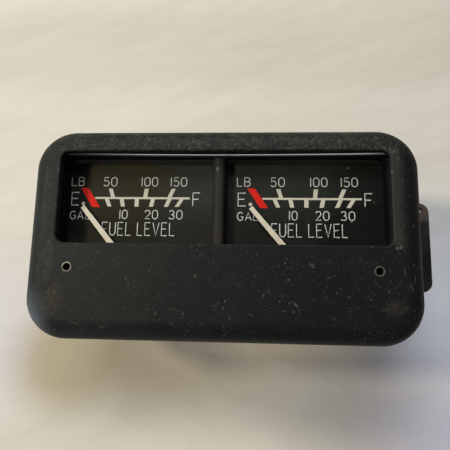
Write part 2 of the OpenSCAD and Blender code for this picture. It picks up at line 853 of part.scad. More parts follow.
// Pillars that carry the bridges and the lower halves of the dials
module pillars() {
    front = d_front_bridge + bridge_t;
    color([0.75, 0.62, 0.35]) at_movements() at_pillars() difference() {
        union() {
            rod(front, d_rear_bridge, pillar_r, pillar_r);
            rod(d_dial_back, d_chassis, collar_r, collar_r);
        }
        rod(front - over, front + screw_grip + slack, screw_r + fit, screw_r + fit);
        rod(d_rear_bridge - screw_grip - slack, d_rear_bridge + over, screw_r + fit, screw_r + fit);
    }
}

// Bridge of one side whose front is at a depth
module bridge(side, depth) {
    reach = norm([pillar_x, pillar_y]);
    color([0.72, 0.58, 0.32]) translate([pivot_x[side], pivot_y, 0])
        slab(depth, depth + bridge_t) difference() {
            union() {
                circle(bridge_boss_r);
                for (x = [-1, 1]) {
                    translate([x * pillar_x, pillar_y]) circle(bridge_end_r);
                    rotate(x * pillar_angle) translate([-limb_w / 2, -reach]) square([limb_w, reach]);
                }
            }
            circle(jewel_screw_r + fit);
            at_pillars() circle(screw_r + slack);
        }
}

// Screws that hold the bridges to the pillars
module bridge_screws() {
    color([0.7, 0.7, 0.7]) at_movements() at_pillars() {
        front_screw(d_front_bridge, bridge_t + screw_grip, screw_r, screw_head_r, screw_head_h);
        rear_screw(d_rear_bridge + bridge_t, bridge_t + screw_grip, screw_r, screw_head_r, screw_head_h);
    }
}

// Screws that carry the jewels
module jewel_screws() {
    color([0.8, 0.68, 0.4]) at_movements() {
        difference() {
            rod(d_front_bridge - jewel_nut_t - slack, d_front_jewel, jewel_screw_r, jewel_screw_r);
            rod(d_front_jewel - jewel_t, d_front_jewel + over, jewel_r + fit, jewel_r + fit);
            bar(3 * jewel_screw_r, slot_w, d_front_bridge - jewel_nut_t - over,
                d_front_bridge - jewel_nut_t - slack + slot_d);
        }
        difference() {
            rod(d_rear_jewel, d_jewel_end, jewel_screw_r, jewel_screw_r);
            rod(d_rear_jewel - over, d_rear_jewel + jewel_t, jewel_r + fit, jewel_r + fit);
            bar(3 * jewel_screw_r, slot_w, d_jewel_end - slot_d, d_jewel_end + over);
        }
    }
}

// Nuts that lock the jewel screws
module jewel_nuts() {
    front = d_front_bridge - jewel_nut_t;
    back = d_rear_bridge + bridge_t;
    color([0.68, 0.55, 0.3]) at_movements()
        for (depth = [front, back])
            slab(depth, depth + jewel_nut_t) difference() {
                hexagon(jewel_nut_af);
                circle(jewel_screw_r + fit);
            }
}

// Cupped jewels that the pivots turn in
module jewels() {
    mouth = pivot_r + 1.5 * slack;
    cup = pivot_len + slack;
    color([0.7, 0.1, 0.2]) at_movements() {
        difference() {
            rod(d_front_jewel - jewel_t, d_front_jewel, jewel_r, jewel_r);
            rod(d_front_jewel - cup, d_front_jewel, slack, mouth);
        }
        difference() {
            rod(d_rear_jewel, d_rear_jewel + jewel_t, jewel_r, jewel_r);
            rod(d_rear_jewel, d_rear_jewel + cup, mouth, slack);
        }
    }
}

// Plate that carries both movements and closes the bezel
module chassis_plate() {
    head = screw_head_r - screw_r;
    color([0.66, 0.66, 0.64]) difference() {
        slab(d_chassis, d_yoke) rounded(case_w, case_h, case_r);
        at_movements() {
            rod(d_chassis - over, d_yoke + over, yoke_in + slack, yoke_in + slack);
            at_pillars() rod(d_chassis - over, d_yoke + over, pillar_r + fit, pillar_r + fit);
            for (x = [-1, 1])
                translate([x * lug_x, 0, 0]) rod(d_chassis - over, d_yoke + over, screw_r + fit, screw_r + fit);
        }
        at_corners(standoff_x, standoff_y)
            rod(d_chassis - over, d_yoke + over, spigot_r + fit, spigot_r + fit);
        at_chassis_screws() {
            rod(d_chassis - over, d_yoke + over, screw_r + fit, screw_r + fit);
            rod(d_yoke - head, d_yoke, screw_r + fit, screw_head_r + fit);
        }
    }
}

// Countersunk screws that hold the chassis in the bezel
module chassis_screws() {
    head = screw_head_r - screw_r;
    color([0.7, 0.7, 0.7]) at_chassis_screws() difference() {
        union() {
            rod(d_chassis - chassis_grip, d_yoke - head / 2, screw_r, screw_r);
            rod(d_yoke - head, d_yoke, screw_r, screw_head_r);
        }
        bar(3 * screw_head_r, slot_w, d_yoke - slot_d, d_yoke + over);
    }
}

// Drawn case that closes the back
module case() {
    depth = d_case_back - d_yoke;
    color([0.1, 0.1, 0.1]) difference() {
        translate([0, 0, at(d_yoke)]) mirror([0, 0, 1])
            rolled_block(case_w, case_h, depth, case_r, case_roll);
        translate([0, 0, at(d_yoke) + over]) mirror([0, 0, 1])
            rolled_block(case_w - 2 * case_wall, case_h - 2 * case_wall, depth - case_wall + over,
                case_r - case_wall, case_roll - case_wall);
        slab(d_case_in - over, d_case_back + over) rounded(opening_w, opening_h, opening_margin / 2);
        at_corners(standoff_x, standoff_y)
            rod(d_case_in - over, d_case_back + over, case_screw_r + slack, case_screw_r + slack);
        at_corners(board_rivet_x, board_rivet_y)
            rod(d_case_in - over, d_case_back + over, rivet_r + fit, rivet_r + fit);
        at_bracket_rivets() side_bar(-case_wall - over, over, rivet_r + fit);
    }
}

// Hexagonal standoffs between the chassis and the back of the case
module case_standoffs() {
    color([0.72, 0.58, 0.32]) at_corners(standoff_x, standoff_y) difference() {
        union() {
            slab(d_yoke, d_case_in) hexagon(standoff_af);
            rod(d_chassis, d_yoke + over, spigot_r, spigot_r);
        }
        rod(d_case_in - case_grip - slack, d_case_in + over, case_screw_r + fit, case_screw_r + fit);
    }
}

// Screws that hold the case to the standoffs
module case_screws() {
    color([0.6, 0.6, 0.58]) at_corners(standoff_x, standoff_y)
        rear_screw(d_case_back, case_wall + case_grip, case_screw_r, case_head_r, case_head_h);
}

// Brown board that insulates the studs
module terminal_board() {
    color([0.35, 0.2, 0.11]) slab(d_board, d_case_in) difference() {
        square([opening_w + 2 * board_lap, opening_h + 2 * board_lap], center = true);
        at_corners(stud_pitch_x / 2, stud_pitch_y / 2) circle(stud_grip_r + fit);
        at_corners(board_rivet_x, board_rivet_y) circle(rivet_r + fit);
    }
}

// Rivets that hold the board behind the case's opening
module board_rivets() {
    color([0.7, 0.7, 0.68]) at_corners(board_rivet_x, board_rivet_y) union() {
        rod(d_board - rivet_head_h, d_board, rivet_head_r, rivet_head_r);
        rod(d_board - rivet_head_h / 2, d_case_back + rivet_head_h / 2, rivet_r, rivet_r);
        rod(d_case_back, d_case_back + rivet_head_h, rivet_head_r, rivet_head_r);
    }
}

// Threaded terminal studs
module terminal_studs() {
    color([0.74, 0.58, 0.3]) at_corners(stud_pitch_x / 2, stud_pitch_y / 2) union() {
        free = d_case_in + washer_t + stud_nut_t;
        slab(d_stud_head, d_board) hexagon(stud_nut_af);
        rod(d_board - stud_head_t / 2, free + stud_r / 2, stud_grip_r, stud_grip_r);
        rod(free, total_d, stud_r, stud_r);
    }
}

// Washers under the stud nuts
module stud_washers() {
    color([0.7, 0.7, 0.68]) at_corners(stud_pitch_x / 2, stud_pitch_y / 2)
        slab(d_case_in, d_case_in + washer_t) difference() {
            circle(washer_r);
            circle(stud_grip_r + fit);
        }
}

// Nuts that hold the studs in the board
module stud_nuts() {
    color([0.74, 0.6, 0.33]) at_corners(stud_pitch_x / 2, stud_pitch_y / 2)
        slab(d_case_in + washer_t, d_case_in + washer_t + stud_nut_t) difference() {
            hexagon(stud_nut_af);
            circle(stud_grip_r + fit);
        }
}

// Leads from the lower studs to the rear spring holders and from the upper studs to the chassis
module leads() {
    color([0.6, 0.12, 0.1])
        for (side = [0, 1]) {
            stud_x = (side - 0.5) * stud_pitch_x;
            stud_y = stud_pitch_y / 2;
            holder = [pivot_x[side], pivot_y + holder_foot];
            ground = [pivot_x[side] + lug_x, post_y - stud_y];
            drop = d_stud_head - (d_rear_spring + spring_h);
            wire([
                [stud_x, -stud_y, at(d_stud_head)],
                [stud_x, -stud_y, at(d_stud_head - drop / 6)],
                [(stud_x + holder[0]) / 2, (holder[1] - stud_y) / 2, at(d_stud_head - drop / 3)],
                [holder[0], holder[1], at(d_stud_head - 2 * drop / 3)],
                [holder[0], holder[1], at(d_stud_head - drop)]
            ], lead_r);
            fall = d_stud_head - d_yoke;
            wire([
                [stud_x, stud_y, at(d_stud_head)],
                [stud_x, stud_y, at(d_stud_head - fall / 8)],
                [(stud_x + ground[0]) / 2, (stud_y + ground[1]) / 2, at(d_stud_head - fall / 3)],
                [ground[0], ground[1], at(d_stud_head - fall / 2)],
                [ground[0], ground[1], at(d_stud_head - fall)]
            ], lead_r);
        }
}

// Children at the bracket's two rivets, on the case's right wall
module at_bracket_rivets() {
    for (y = [-1, 1])
        translate([case_w / 2, ear_y + y * ear_rivet_pitch / 2, at(d_bracket + ear_t + ear_rivet_back)])
            children();
}

// Round bar that runs to the right
module side_bar(from, to, r) {
    rotate([0, 90, 0]) translate([0, 0, from]) cylinder(h = to - from, r = r);
}

// Angle bracket on the right of the case
module side_bracket() {
    inner = case_w / 2;
    outer = bezel_w / 2 + ear_out;
    bottom = ear_y - ear_h / 2;
    top = ear_y + ear_h / 2;
    color([0.1, 0.1, 0.1]) difference() {
        union() {
            slab(d_bracket, d_bracket + ear_t) {
                panel(inner, outer - ear_r, bottom, top);
                panel(inner, outer, bottom + ear_r, top - ear_r);
                for (y = [bottom + ear_r, top - ear_r]) translate([outer - ear_r, y]) circle(ear_r);
            }
            slab(d_bracket + ear_t / 2, d_bracket + ear_t + ear_leg)
                panel(inner, inner + ear_t, bottom + ear_r, top - ear_r);
        }
        translate([outer - ear_hole_in, top - ear_hole_down, 0])
            rod(d_bracket - over, d_bracket + ear_t + over, ear_hole_r, ear_hole_r);
        at_bracket_rivets() side_bar(-over, ear_t + over, rivet_r + fit);
    }
}

// Rivets that hold the bracket to the case
module bracket_rivets() {
    color([0.3, 0.3, 0.3]) at_bracket_rivets() union() {
        side_bar(-case_wall - rivet_head_h, -case_wall, rivet_head_r);
        side_bar(-case_wall - rivet_head_h / 2, ear_t + rivet_head_h / 2, rivet_r);
        side_bar(ear_t, ear_t + rivet_head_h, rivet_head_r);
    }
}

bezel();
thread_inserts();
lens_gasket();
lens();
dial_mask();
dial(0);  // dial_left
dial(1);  // dial_right
dial_posts();
stop_pins();
pointer(0);  // pointer_left
pointer(1);  // pointer_right
balance_weights(0);  // balance_weights_left
balance_weights(1);  // balance_weights_right
staffs(0);  // staffs_left
staffs(1);  // staffs_right
spring_collets(0);  // spring_collets_left
spring_collets(1);  // spring_collets_right
coil_former(0);  // coil_former_left
coil_former(1);  // coil_former_right
coil_winding(0);  // coil_winding_left
coil_winding(1);  // coil_winding_right
hairspring(0, d_front_spring);  // front_hairspring_left
hairspring(1, d_front_spring);  // front_hairspring_right
hairspring(0, d_rear_spring);  // rear_hairspring_left
hairspring(1, d_rear_spring);  // rear_hairspring_right
spring_holders();
holder_pads();
core_magnet(0);  // core_magnet_left
core_magnet(1);  // core_magnet_right
core_pins();
yoke_ring(0);  // yoke_ring_left
yoke_ring(1);  // yoke_ring_right
yoke_screws();
pillars();
bridge(0, d_front_bridge);  // front_bridge_left
bridge(1, d_front_bridge);  // front_bridge_right
bridge(0, d_rear_bridge);  // rear_bridge_left
bridge(1, d_rear_bridge);  // rear_bridge_right
bridge_screws();
jewel_screws();
jewel_nuts();
jewels();
chassis_plate();
chassis_screws();
case();
case_standoffs();
case_screws();
terminal_board();
board_rivets();
terminal_studs();
stud_washers();
stud_nuts();
leads();
side_bracket();
bracket_rivets();
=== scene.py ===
import math

import bmesh
import bpy
from mathutils import Matrix, Vector


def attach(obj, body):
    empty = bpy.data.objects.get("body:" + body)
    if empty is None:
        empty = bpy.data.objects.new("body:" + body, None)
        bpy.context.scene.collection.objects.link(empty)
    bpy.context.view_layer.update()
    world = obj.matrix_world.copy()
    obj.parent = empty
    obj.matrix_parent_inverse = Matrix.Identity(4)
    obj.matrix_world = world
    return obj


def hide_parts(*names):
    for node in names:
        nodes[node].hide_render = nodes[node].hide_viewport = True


# Looks of the twin fuel gauge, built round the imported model
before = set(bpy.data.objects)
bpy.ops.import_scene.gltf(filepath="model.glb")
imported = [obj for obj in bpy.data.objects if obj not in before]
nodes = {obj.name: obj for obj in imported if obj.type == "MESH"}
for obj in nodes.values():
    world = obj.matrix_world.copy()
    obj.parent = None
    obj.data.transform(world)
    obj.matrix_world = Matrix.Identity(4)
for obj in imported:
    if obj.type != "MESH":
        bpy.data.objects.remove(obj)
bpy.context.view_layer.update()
mm = 0.001
scene = bpy.context.scene
scene.view_settings.view_transform = "Standard"
print("frame loaded:", len(nodes), "nodes")

# Camera, read from the bezel's outline, the window and the two brass bushes
cameraView = {
    "place": (9.46, -20.16, 180.49),
    "ahead": (-0.0658, 0.1726, -0.9828),
    "up": (-0.009, 0.9848, 0.1735),
    "lens": 37.57,
    "sensor": 36,
}


def makeCamera(view):
    ahead = Vector(view["ahead"]).normalized()
    right = ahead.cross(Vector(view["up"])).normalized()
    up = right.cross(ahead)
    turn = Matrix((right, up, -ahead)).transposed().to_4x4()
    data = bpy.data.cameras.new("photoCamera")
    data.lens = view["lens"]
    data.sensor_width = view["sensor"]
    data.clip_start = 0.01
    camera = bpy.data.objects.new("photoCamera", data)
    camera.matrix_world = Matrix.Translation(Vector(view["place"]) * mm) @ turn
    scene.collection.objects.link(camera)
    scene.camera = camera


makeCamera(cameraView)
print("camera placed")


class Wire:
    # one output socket of a node tree, which takes part in sums
    def __init__(self, tree, socket=None):
        self.tree = tree
        self.socket = socket

    def add(self, kind, settings=None, sockets=None, out=0):
        node = self.tree.nodes.new("ShaderNode" + kind)
        for name, value in (settings or {}).items():
            setattr(node, name, value)
        for name, value in (sockets or {}).items():
            if isinstance(value, Wire):
                self.tree.links.new(value.socket, node.inputs[name])
            elif node.inputs[name].type == "RGBA":
                node.inputs[name].default_value = (*value, 1)
            else:
                node.inputs[name].default_value = value
        return Wire(self.tree, node.outputs[out] if node.outputs else None)

    def sibling(self, out):
        return Wire(self.tree, self.socket.node.outputs[out])

    def calc(self, operation, first, second):
        return self.add("Math", {"operation": operation}, {0: first, 1: second})

    def __add__(self, other):
        return self.calc("ADD", self, other)

    def __radd__(self, other):
        return self.calc("ADD", other, self)

    def __sub__(self, other):
        return self.calc("SUBTRACT", self, other)

    def __rsub__(self, other):
        return self.calc("SUBTRACT", other, self)

    def __mul__(self, other):
        return self.calc("MULTIPLY", self, other)

    def __rmul__(self, other):
        return self.calc("MULTIPLY", other, self)

    def __truediv__(self, other):
        return self.calc("DIVIDE", self, other)

    def __rtruediv__(self, other):
        return self.calc("DIVIDE", other, self)

    def __or__(self, other):
        return self.calc("MAXIMUM", self, other)

    def __ror__(self, other):
        return self.calc("MAXIMUM", other, self)


# Patterns, all in millimetres on the piece
def rise(value, low, high):
    sockets = {"Value": value, "From Min": low, "From Max": high}
    return value.add("MapRange", {"interpolation_type": "SMOOTHSTEP"}, sockets)


def clouds(place, size, detail=3.0, rough=0.55):
    sockets = {"Vector": place, "Scale": 1 / size, "Detail": detail, "Roughness": rough}
    return place.add("TexNoise", None, sockets)


def turned(place, angle=0.0, size=(1, 1, 1), centre=(0, 0, 0), tilt=0.0):
    # angle about the upright axis, a tilt leans the pattern out of the flat
    turn = (math.radians(tilt), math.radians(tilt * 0.4), math.radians(angle))
    sockets = {"Vector": place, "Location": centre, "Rotation": turn, "Scale": size}
    return place.add("Mapping", {"vector_type": "TEXTURE"}, sockets)


def distance(place, centre, size=(1, 1, 1), angle=0.0):
    # way from the centre, counted in sizes
    spot = turned(place, angle, size, centre)
    return place.add("VectorMath", {"operation": "LENGTH"}, {0: spot}, out="Value")


def streaks(place, angle, length, width, level, breaks, tilt=0.0):
    # thin lines along one direction, broken up by clouds
    line = clouds(turned(place, angle, (length, width, length), tilt=tilt), 1.0, 1.0, 0.4)
    gaps = rise(clouds(place, breaks, 2.0), 0.5, 0.62)
    return rise(line, level, level + 0.035) * gaps


def specks(place, spacing, share, size):
    # round grains: a share of the cells holds one
    cell = place.add("TexVoronoi", {"feature": "F1"}, {"Vector": place, "Scale": 1 / spacing})
    pick = place.add("SeparateColor", None, {0: cell.sibling("Color")})
    grain = rise(cell / (pick.sibling(1) * (size / spacing) + 0.02), 1.0, 0.65)
    return grain * rise(pick, 1 - share - 0.01, 1 - share + 0.01)


def ruffled(place, size, amount):
    # place pushed about by noise, so that patterns lose their clean outlines
    noise = place.add("TexNoise", None, {"Vector": place, "Scale": 1 / size, "Detail": 2.0}, out="Color")
    push = place.add("VectorMath", {"operation": "SUBTRACT"}, {0: noise, 1: (0.5, 0.5, 0.5)})
    push = place.add("VectorMath", {"operation": "SCALE"}, {0: push, "Scale": amount})
    return place.add("VectorMath", {"operation": "ADD"}, {0: place, 1: push})


def flecks(place, spacing, share, size, angle, long):
    # short ragged bits of lint and scuff that lie along one direction
    return specks(turned(ruffled(place, 0.35, 0.45), angle, (long, 1, 1)), spacing, share, size)


def nick(place, spot, angle, long, wide):
    # one scratch at a known place, deep enough to follow a rolled edge
    return rise(distance(place, spot, (long / 2, wide / 2, 8), angle), 1.0, 0.3)


def patch(place, centre, size, ragged=0.45):
    # soft-edged spot with a ragged outline
    fringe = (clouds(place, max(size) / 3, 4.0, 0.65) - 0.5) * (2 * ragged)
    return rise(distance(place, centre, size) + fringe, 1.0, 0.55)


def hollow(place, centre, size):
    # wide soft spot, 1 in its middle
    return rise(distance(place, centre, size), 1.0, 0.0)


def blendTones(share, first, second):
    return share.add("Mix", {"data_type": "RGBA"}, {0: share, 6: first, 7: second}, out=2)


def edgeNormal(place, radius):
    return place.add("Bevel", {"samples": 6}, {"Radius": radius * mm})


def edges(place, radius):
    # 1 along sharp edges, 0 on the flats
    soft = edgeNormal(place, radius)
    flat = place.add("NewGeometry", out="True Normal")
    same = place.add("VectorMath", {"operation": "DOT_PRODUCT"}, {0: soft, 1: flat}, out="Value")
    return rise(1 - same, 0.015, 0.14)


def crevices(place, reach):
    daylight = place.add("AmbientOcclusion", {"samples": 6}, {"Distance": reach * mm}, out="AO")
    return rise(daylight, 0.75, 0.3)


def bump(place, height, soften=0.0):
    # height is in millimetres
    sockets = {"Strength": 1.0, "Distance": mm, "Height": height}
    if soften:
        sockets["Normal"] = edgeNormal(place, soften)
    return place.add("Bump", None, sockets)


def newFinish(name):
    finish = bpy.data.materials.new(name)
    finish.use_nodes = True
    finish.node_tree.nodes.clear()
    coord = Wire(finish.node_tree).add("TexCoord", out="Object")
    place = coord.add("VectorMath", {"operation": "SCALE"}, {0: coord, "Scale": 1000.0})
    return finish, place


def closeFinish(place, tone, rough, normal, others=None):
    sockets = {"Base Color": tone, "Roughness": rough, "Normal": normal, **(others or {})}
    shader = place.add("BsdfPrincipled", None, sockets)
    place.add("OutputMaterial", None, {"Surface": shader})


def axes(place):
    split = place.add("SeparateXYZ", None, {0: place})
    return split, split.sibling(1), split.sibling(2)


# Worn black moulding of the bezel
bezelLook = {
    "tone": (0.0032, 0.0038, 0.0034),
    "faded": (0.0118, 0.0128, 0.0103),
    "fadedShadedRight": (0.0056, 0.0066, 0.0064),
    "mottle": (0.0300, 0.0305, 0.0225),
    "brown": (0.060, 0.041, 0.020),
    "olive": (0.046, 0.043, 0.022),
    "umber": (0.036, 0.027, 0.023),
    "litStripAndChalk": (0.025, 0.0255, 0.0205),
    "wall": (0.0010, 0.0010, 0.0010),
    "polished": (0.116, 0.129, 0.144),
    "dust": (0.150, 0.152, 0.132),
    "yellow": (0.125, 0.106, 0.062),
    "scratch": (0.170, 0.172, 0.165),
    "rough": 0.51,
    # window's left, right, lower and upper side, and the width of their soft outline
    "window": (-46.1, 46.1, -4.0, 23.2, 0.3),
    # centre and half size of the stains
    "handledSheenSpot": ((-51.0, -24.0, 51.5), (8, 12, 9)),
    "oliveLow": ((-47.2, -8.0, 55.5), (1.9, 8.0, 7)),
    "oliveHigh": ((-48.6, 9.0, 55.5), (1.8, 10.0, 7)),
    "brownSpot": ((-44.6, -18.6, 55.8), (2.8, 4.6, 6)),
    "umberSpot": ((45.2, -19.5, 56.0), (4.0, 2.6, 6)),
    "chalkSpot": ((46.6, 22.4, 56.0), (1.9, 1.5, 3)),
    "scuffCentre": (43.7, -11.3, 56.2),
    # spacing, share, size, direction, stretch and strength of the lint
    "lint": (
        (1.5, 0.26, 0.35, 20, 1.7, 0.85), (1.7, 0.26, 0.38, 78, 1.7, 0.85), (1.3, 0.26, 0.28, -41, 2.4, 0.85),
        (0.9, 0.34, 0.24, 52, 1.5, 0.68), (0.7, 0.42, 0.20, 8, 1.6, 0.80),
    ),
    # place, direction, length and width of the nicks, which all lie at one height
    "nickHeight": 55.8,
    "nicks": (
        (11.5, -16.9, 60, 2.2, 0.30), (12.8, -16.0, 118, 1.4, 0.24), (17.0, -20.9, -30, 1.1, 0.45),
        (19.4, -21.0, 60, 1.0, 0.35), (48.0, -10.2, 97, 3.0, 0.24), (49.6, -14.3, 110, 3.2, 0.28),
        (50.6, -12.0, 84, 3.0, 0.20), (52.4, -8.9, 0, 3.0, 0.16), (53.3, -8.0, 92, 13.0, 0.30),
        (-33.8, -15.9, 75, 1.0, 0.30), (-25.2, -13.2, 60, 1.0, 0.28), (-23.0, -15.2, -20, 1.0, 0.30),
        (-1.8, -8.3, 85, 1.0, 0.26), (1.0, -20.4, 55, 1.8, 0.26), (2.8, -23.0, 100, 1.6, 0.26),
        (-38.5, -25.0, -12, 5.0, 0.20), (28.5, -12.0, 25, 1.8, 0.30), (30.5, -16.0, 60, 1.6, 0.28),
        (-47.0, -3.4, 70, 1.4, 0.30), (24.5, -8.6, 0, 1.4, 0.30), (-31.0, -26.0, 20, 2.5, 0.24),
        (46.6, 22.3, 35, 1.5, 0.60), (47.6, 20.4, 70, 1.3, 0.30), (47.3, -3.6, 60, 1.8, 0.50),
        (51.0, 2.0, 100, 1.6, 0.34), (-46.2, 17.0, 80, 1.2, 0.50),
    ),
}


def bezelPlastic(look):
    finish, place = newFinish("wornBezelPlastic")
    x, y, z = axes(place)
    haze = rise(clouds(place, 16, 4.0), 0.35, 0.7)
    blot = rise(clouds(place, 4.5, 3.0), 0.42, 0.66)
    grain = clouds(place, 0.45, 4.0, 0.7)
    spread = rise(clouds(place, 1.1, 6.0, 0.72), 0.47, 0.66)
    topBar = rise(y, 20.5, 24.0) * rise(z, 48.0, 53.0)
    leftSideLitAndDusty = rise(x, -8.0, -50.0)
    worn = topBar | rise(x, -43.5, -47.5) * 0.3
    fade = haze * 0.30 + blot * 0.22 + rise(grain, 0.45, 0.7) * (0.24 + worn * 0.2)
    # painted light and shade: the bezel paler over its left half and its faded tone darker to the right,
    # following the lamp at the left
    fade = fade + leftSideLitAndDusty * 0.10 + topBar * 0.1
    faded = blendTones(rise(x, -22.0, 24.0) * (1 - topBar), look["faded"], look["fadedShadedRight"])
    tone = blendTones(fade, look["tone"], faded)
    # darker and paler islands along the top bar
    island = clouds(place, 1.7, 5.0, 0.66)
    tone = blendTones(rise(island, 0.51, 0.41) * topBar * 0.8, tone, look["tone"])
    tone = blendTones(rise(island, 0.52, 0.64) * topBar * 0.65, tone, look["mottle"])
    tone = blendTones(spread * (0.07 + leftSideLitAndDusty * 0.13 + worn * 0.50), tone, look["mottle"])
    # corner rubbed grey by hands, and the roll above it, painted lighter: real rubbing and a painted sheen
    handledSheen = hollow(place, *look["handledSheenSpot"])
    handledSheen = handledSheen | rise(x, -50.5, -53.5) * rise(z, 44.0, 50.0) * 0.10
    tone = blendTones(handledSheen * (0.75 + spread * 0.25), tone, look["polished"])
    # brown mottles low on the left, olive ones up the side, a rubbed place low on the right
    blotchy = rise(clouds(place, 0.8, 6.0, 0.75), 0.40, 0.66)
    olive = patch(place, *look["oliveLow"], 0.6) | patch(place, *look["oliveHigh"], 0.6) * 0.7
    tone = blendTones(olive * blotchy * 0.55, tone, look["olive"])
    tone = blendTones(patch(place, *look["brownSpot"], 0.6) * blotchy * 0.6, tone, look["brown"])
    rubbed = patch(place, *look["umberSpot"], 0.9) * (0.15 + blotchy * 0.40)
    tone = blendTones(rubbed, tone, look["umber"])
    # paler strip right of the window, a painted highlight where a lit slope would catch the lamp, and a
    # chalky worn spot at its top corner; the walls of the window painted black, painted shade
    frayed = x + clouds(place, 3.0, 3.0) * 1.6
    litStripAndChalk = rise(x, 45.2, 45.7) * rise(frayed, 50.2, 47.6) * rise(y, -4.6, -2.4) * rise(y, 23.6, 22.4)
    litStripAndChalk = litStripAndChalk | patch(place, *look["chalkSpot"], 0.5) * 1.6
    tone = blendTones(litStripAndChalk * (0.4 + grain * 0.6), tone, look["litStripAndChalk"])
    left, right, low, high, soft = look["window"]
    within = rise(x, left - soft, left) * rise(x, right + soft, right)
    within = within * rise(y, low - soft, low) * rise(y, high + soft, high)
    wall = within * rise(z, 56.05, 55.6)
    # dust and lint, thicker and yellower on the top bar
    dusty = rise(clouds(place, 7, 5.0, 0.6), 0.47, 0.66)
    lint = 0
    for spacing, share, size, angle, long, strength in look["lint"]:
        lint = lint | flecks(place, spacing, share, size, angle, long) * strength
    wiped = specks(ruffled(place, 0.8, 0.8), 1.3, 0.35, 0.60)
    fine = specks(ruffled(place, 0.3, 0.3), 0.5, 0.5, 0.16)
    dust = lint * (0.13 + dusty * 0.48) | wiped * (0.03 + dusty * 0.12)
    dust = dust | fine * (0.015 + dusty * 0.08 + topBar * 0.26 + leftSideLitAndDusty * 0.10 + worn * 0.10)
    caked = rise(clouds(place, 5, 4.0), 0.40, 0.60)
    crust = specks(ruffled(place, 0.4, 0.5), 0.6, 0.7, 0.30) * topBar * (0.25 + caked * 0.75)
    crust = crust | rise(clouds(place, 0.55, 5.0, 0.75), 0.50, 0.68) * topBar * caked * 0.5
    tone = blendTones(crust * 0.6, tone, look["yellow"])
    tone = blendTones(dust * 0.8, tone, look["dust"])
    # handling scratches, a scuffed arc beside the right bush and single nicks
    bent = ruffled(place, 6, 1.2)
    lines = streaks(bent, 24, 5, 0.15, 0.69, 5) | streaks(bent, 83, 5, 0.14, 0.70, 5)
    away = distance(place, look["scuffCentre"])
    scuff = rise(away, 3.3, 3.6) * rise(away, 3.9, 3.6) * rise(y, -11.0, -13.0)
    scuff = scuff * rise(clouds(place, 1.4), 0.36, 0.60)
    marks = lines * 0.18 | scuff * 0.14
    shaken = ruffled(place, 0.5, 0.5)
    for nickX, nickY, angle, long, wide in look["nicks"]:
        marks = marks | nick(shaken, (nickX, nickY, look["nickHeight"]), angle, long, wide) * 0.55
    tone = blendTones(marks * 0.7, tone, look["scratch"])
    # painted shade: the walls inside the window darkened to black
    tone = blendTones(wall * 0.9, tone, look["wall"])
    rough = look["rough"] + haze * 0.05 + (grain - 0.5) * 0.14 + spread * 0.08
    rough = rough + dust * 0.3 + litStripAndChalk * 0.1 + wall * 0.3
    height = clouds(place, 0.25, 4.0, 0.65) * 0.006 + spread * (0.008 + worn * 0.012)
    height = height + dust * 0.02 - marks * 0.015
    closeFinish(place, tone, rough, bump(place, height, 0.25), {"Specular IOR Level": 0.14})
    return finish


# Painted sheet metal: the case and the ear
caseLook = {
    "paint": (0.011, 0.011, 0.0115),
    "chalk": (0.026, 0.026, 0.025),
    "bare": (0.33, 0.32, 0.30),
    "rust": (0.085, 0.040, 0.018),
    "dust": (0.16, 0.145, 0.115),
    "wear": 0.55,
    "rustShare": 0.25,
    "rustTop": 0.0,
}
earLook = dict(caseLook, paint=(0.0060, 0.0055, 0.0050), chalk=(0.022, 0.020, 0.017),
               rust=(0.105, 0.066, 0.044), wear=0.4, rustShare=0.4, rustTop=1.0)


def enamelSheet(name, look):
    finish, place = newFinish(name)
    haze = rise(clouds(place, 14, 4.0), 0.35, 0.7)
    grain = clouds(place, 0.8, 4.0, 0.65)
    tone = blendTones(haze * 0.7 + rise(grain, 0.55, 0.8) * 0.3, look["paint"], look["chalk"])
    rim = edges(place, 0.5)
    chipped = rise(rim * (0.35 + clouds(place, 1.6, 4.0, 0.7)), 0.62, 0.78) * look["wear"]
    chipped = chipped | specks(place, 5.0, 0.25, 0.6) * 0.6
    rust = rise(clouds(place, 2.6, 5.0, 0.65) + rim * 0.12, 0.60, 0.72) * look["rustShare"]
    if look["rustTop"]:
        frayed = axes(place)[1] + (clouds(place, 2.0, 4.0, 0.65) - 0.5) * 9
        rust = rust | rise(frayed, 4.5, 9.0) * look["rustTop"] * 0.8
    bent = ruffled(place, 7, 1.5)
    lines = streaks(bent, 12, 9, 0.13, 0.715, 8, 64) | streaks(bent, -55, 8, 0.12, 0.72, 7, 35)
    settled = specks(place, 1.4, 0.4, 0.4) * rise(clouds(place, 10, 3.0), 0.5, 0.65)
    settled = settled | crevices(place, 2.0) * 0.5
    tone = blendTones(rust, tone, look["rust"])
    tone = blendTones(chipped, tone, look["bare"])
    tone = blendTones(lines * 0.14, tone, look["bare"])
    tone = blendTones(settled * 0.6, tone, look["dust"])
    metal = chipped * (1 - settled) * 0.8
    rough = 0.33 + haze * 0.12 + rust * 0.4 + settled * 0.35 + (grain - 0.5) * 0.12
    height = clouds(place, 1.1, 2.0) * 0.012 - chipped * 0.03 + rust * grain * 0.05 - lines * 0.01
    closeFinish(place, tone, rough, bump(place, height, 0.3), {"Metallic": metal})
    return finish


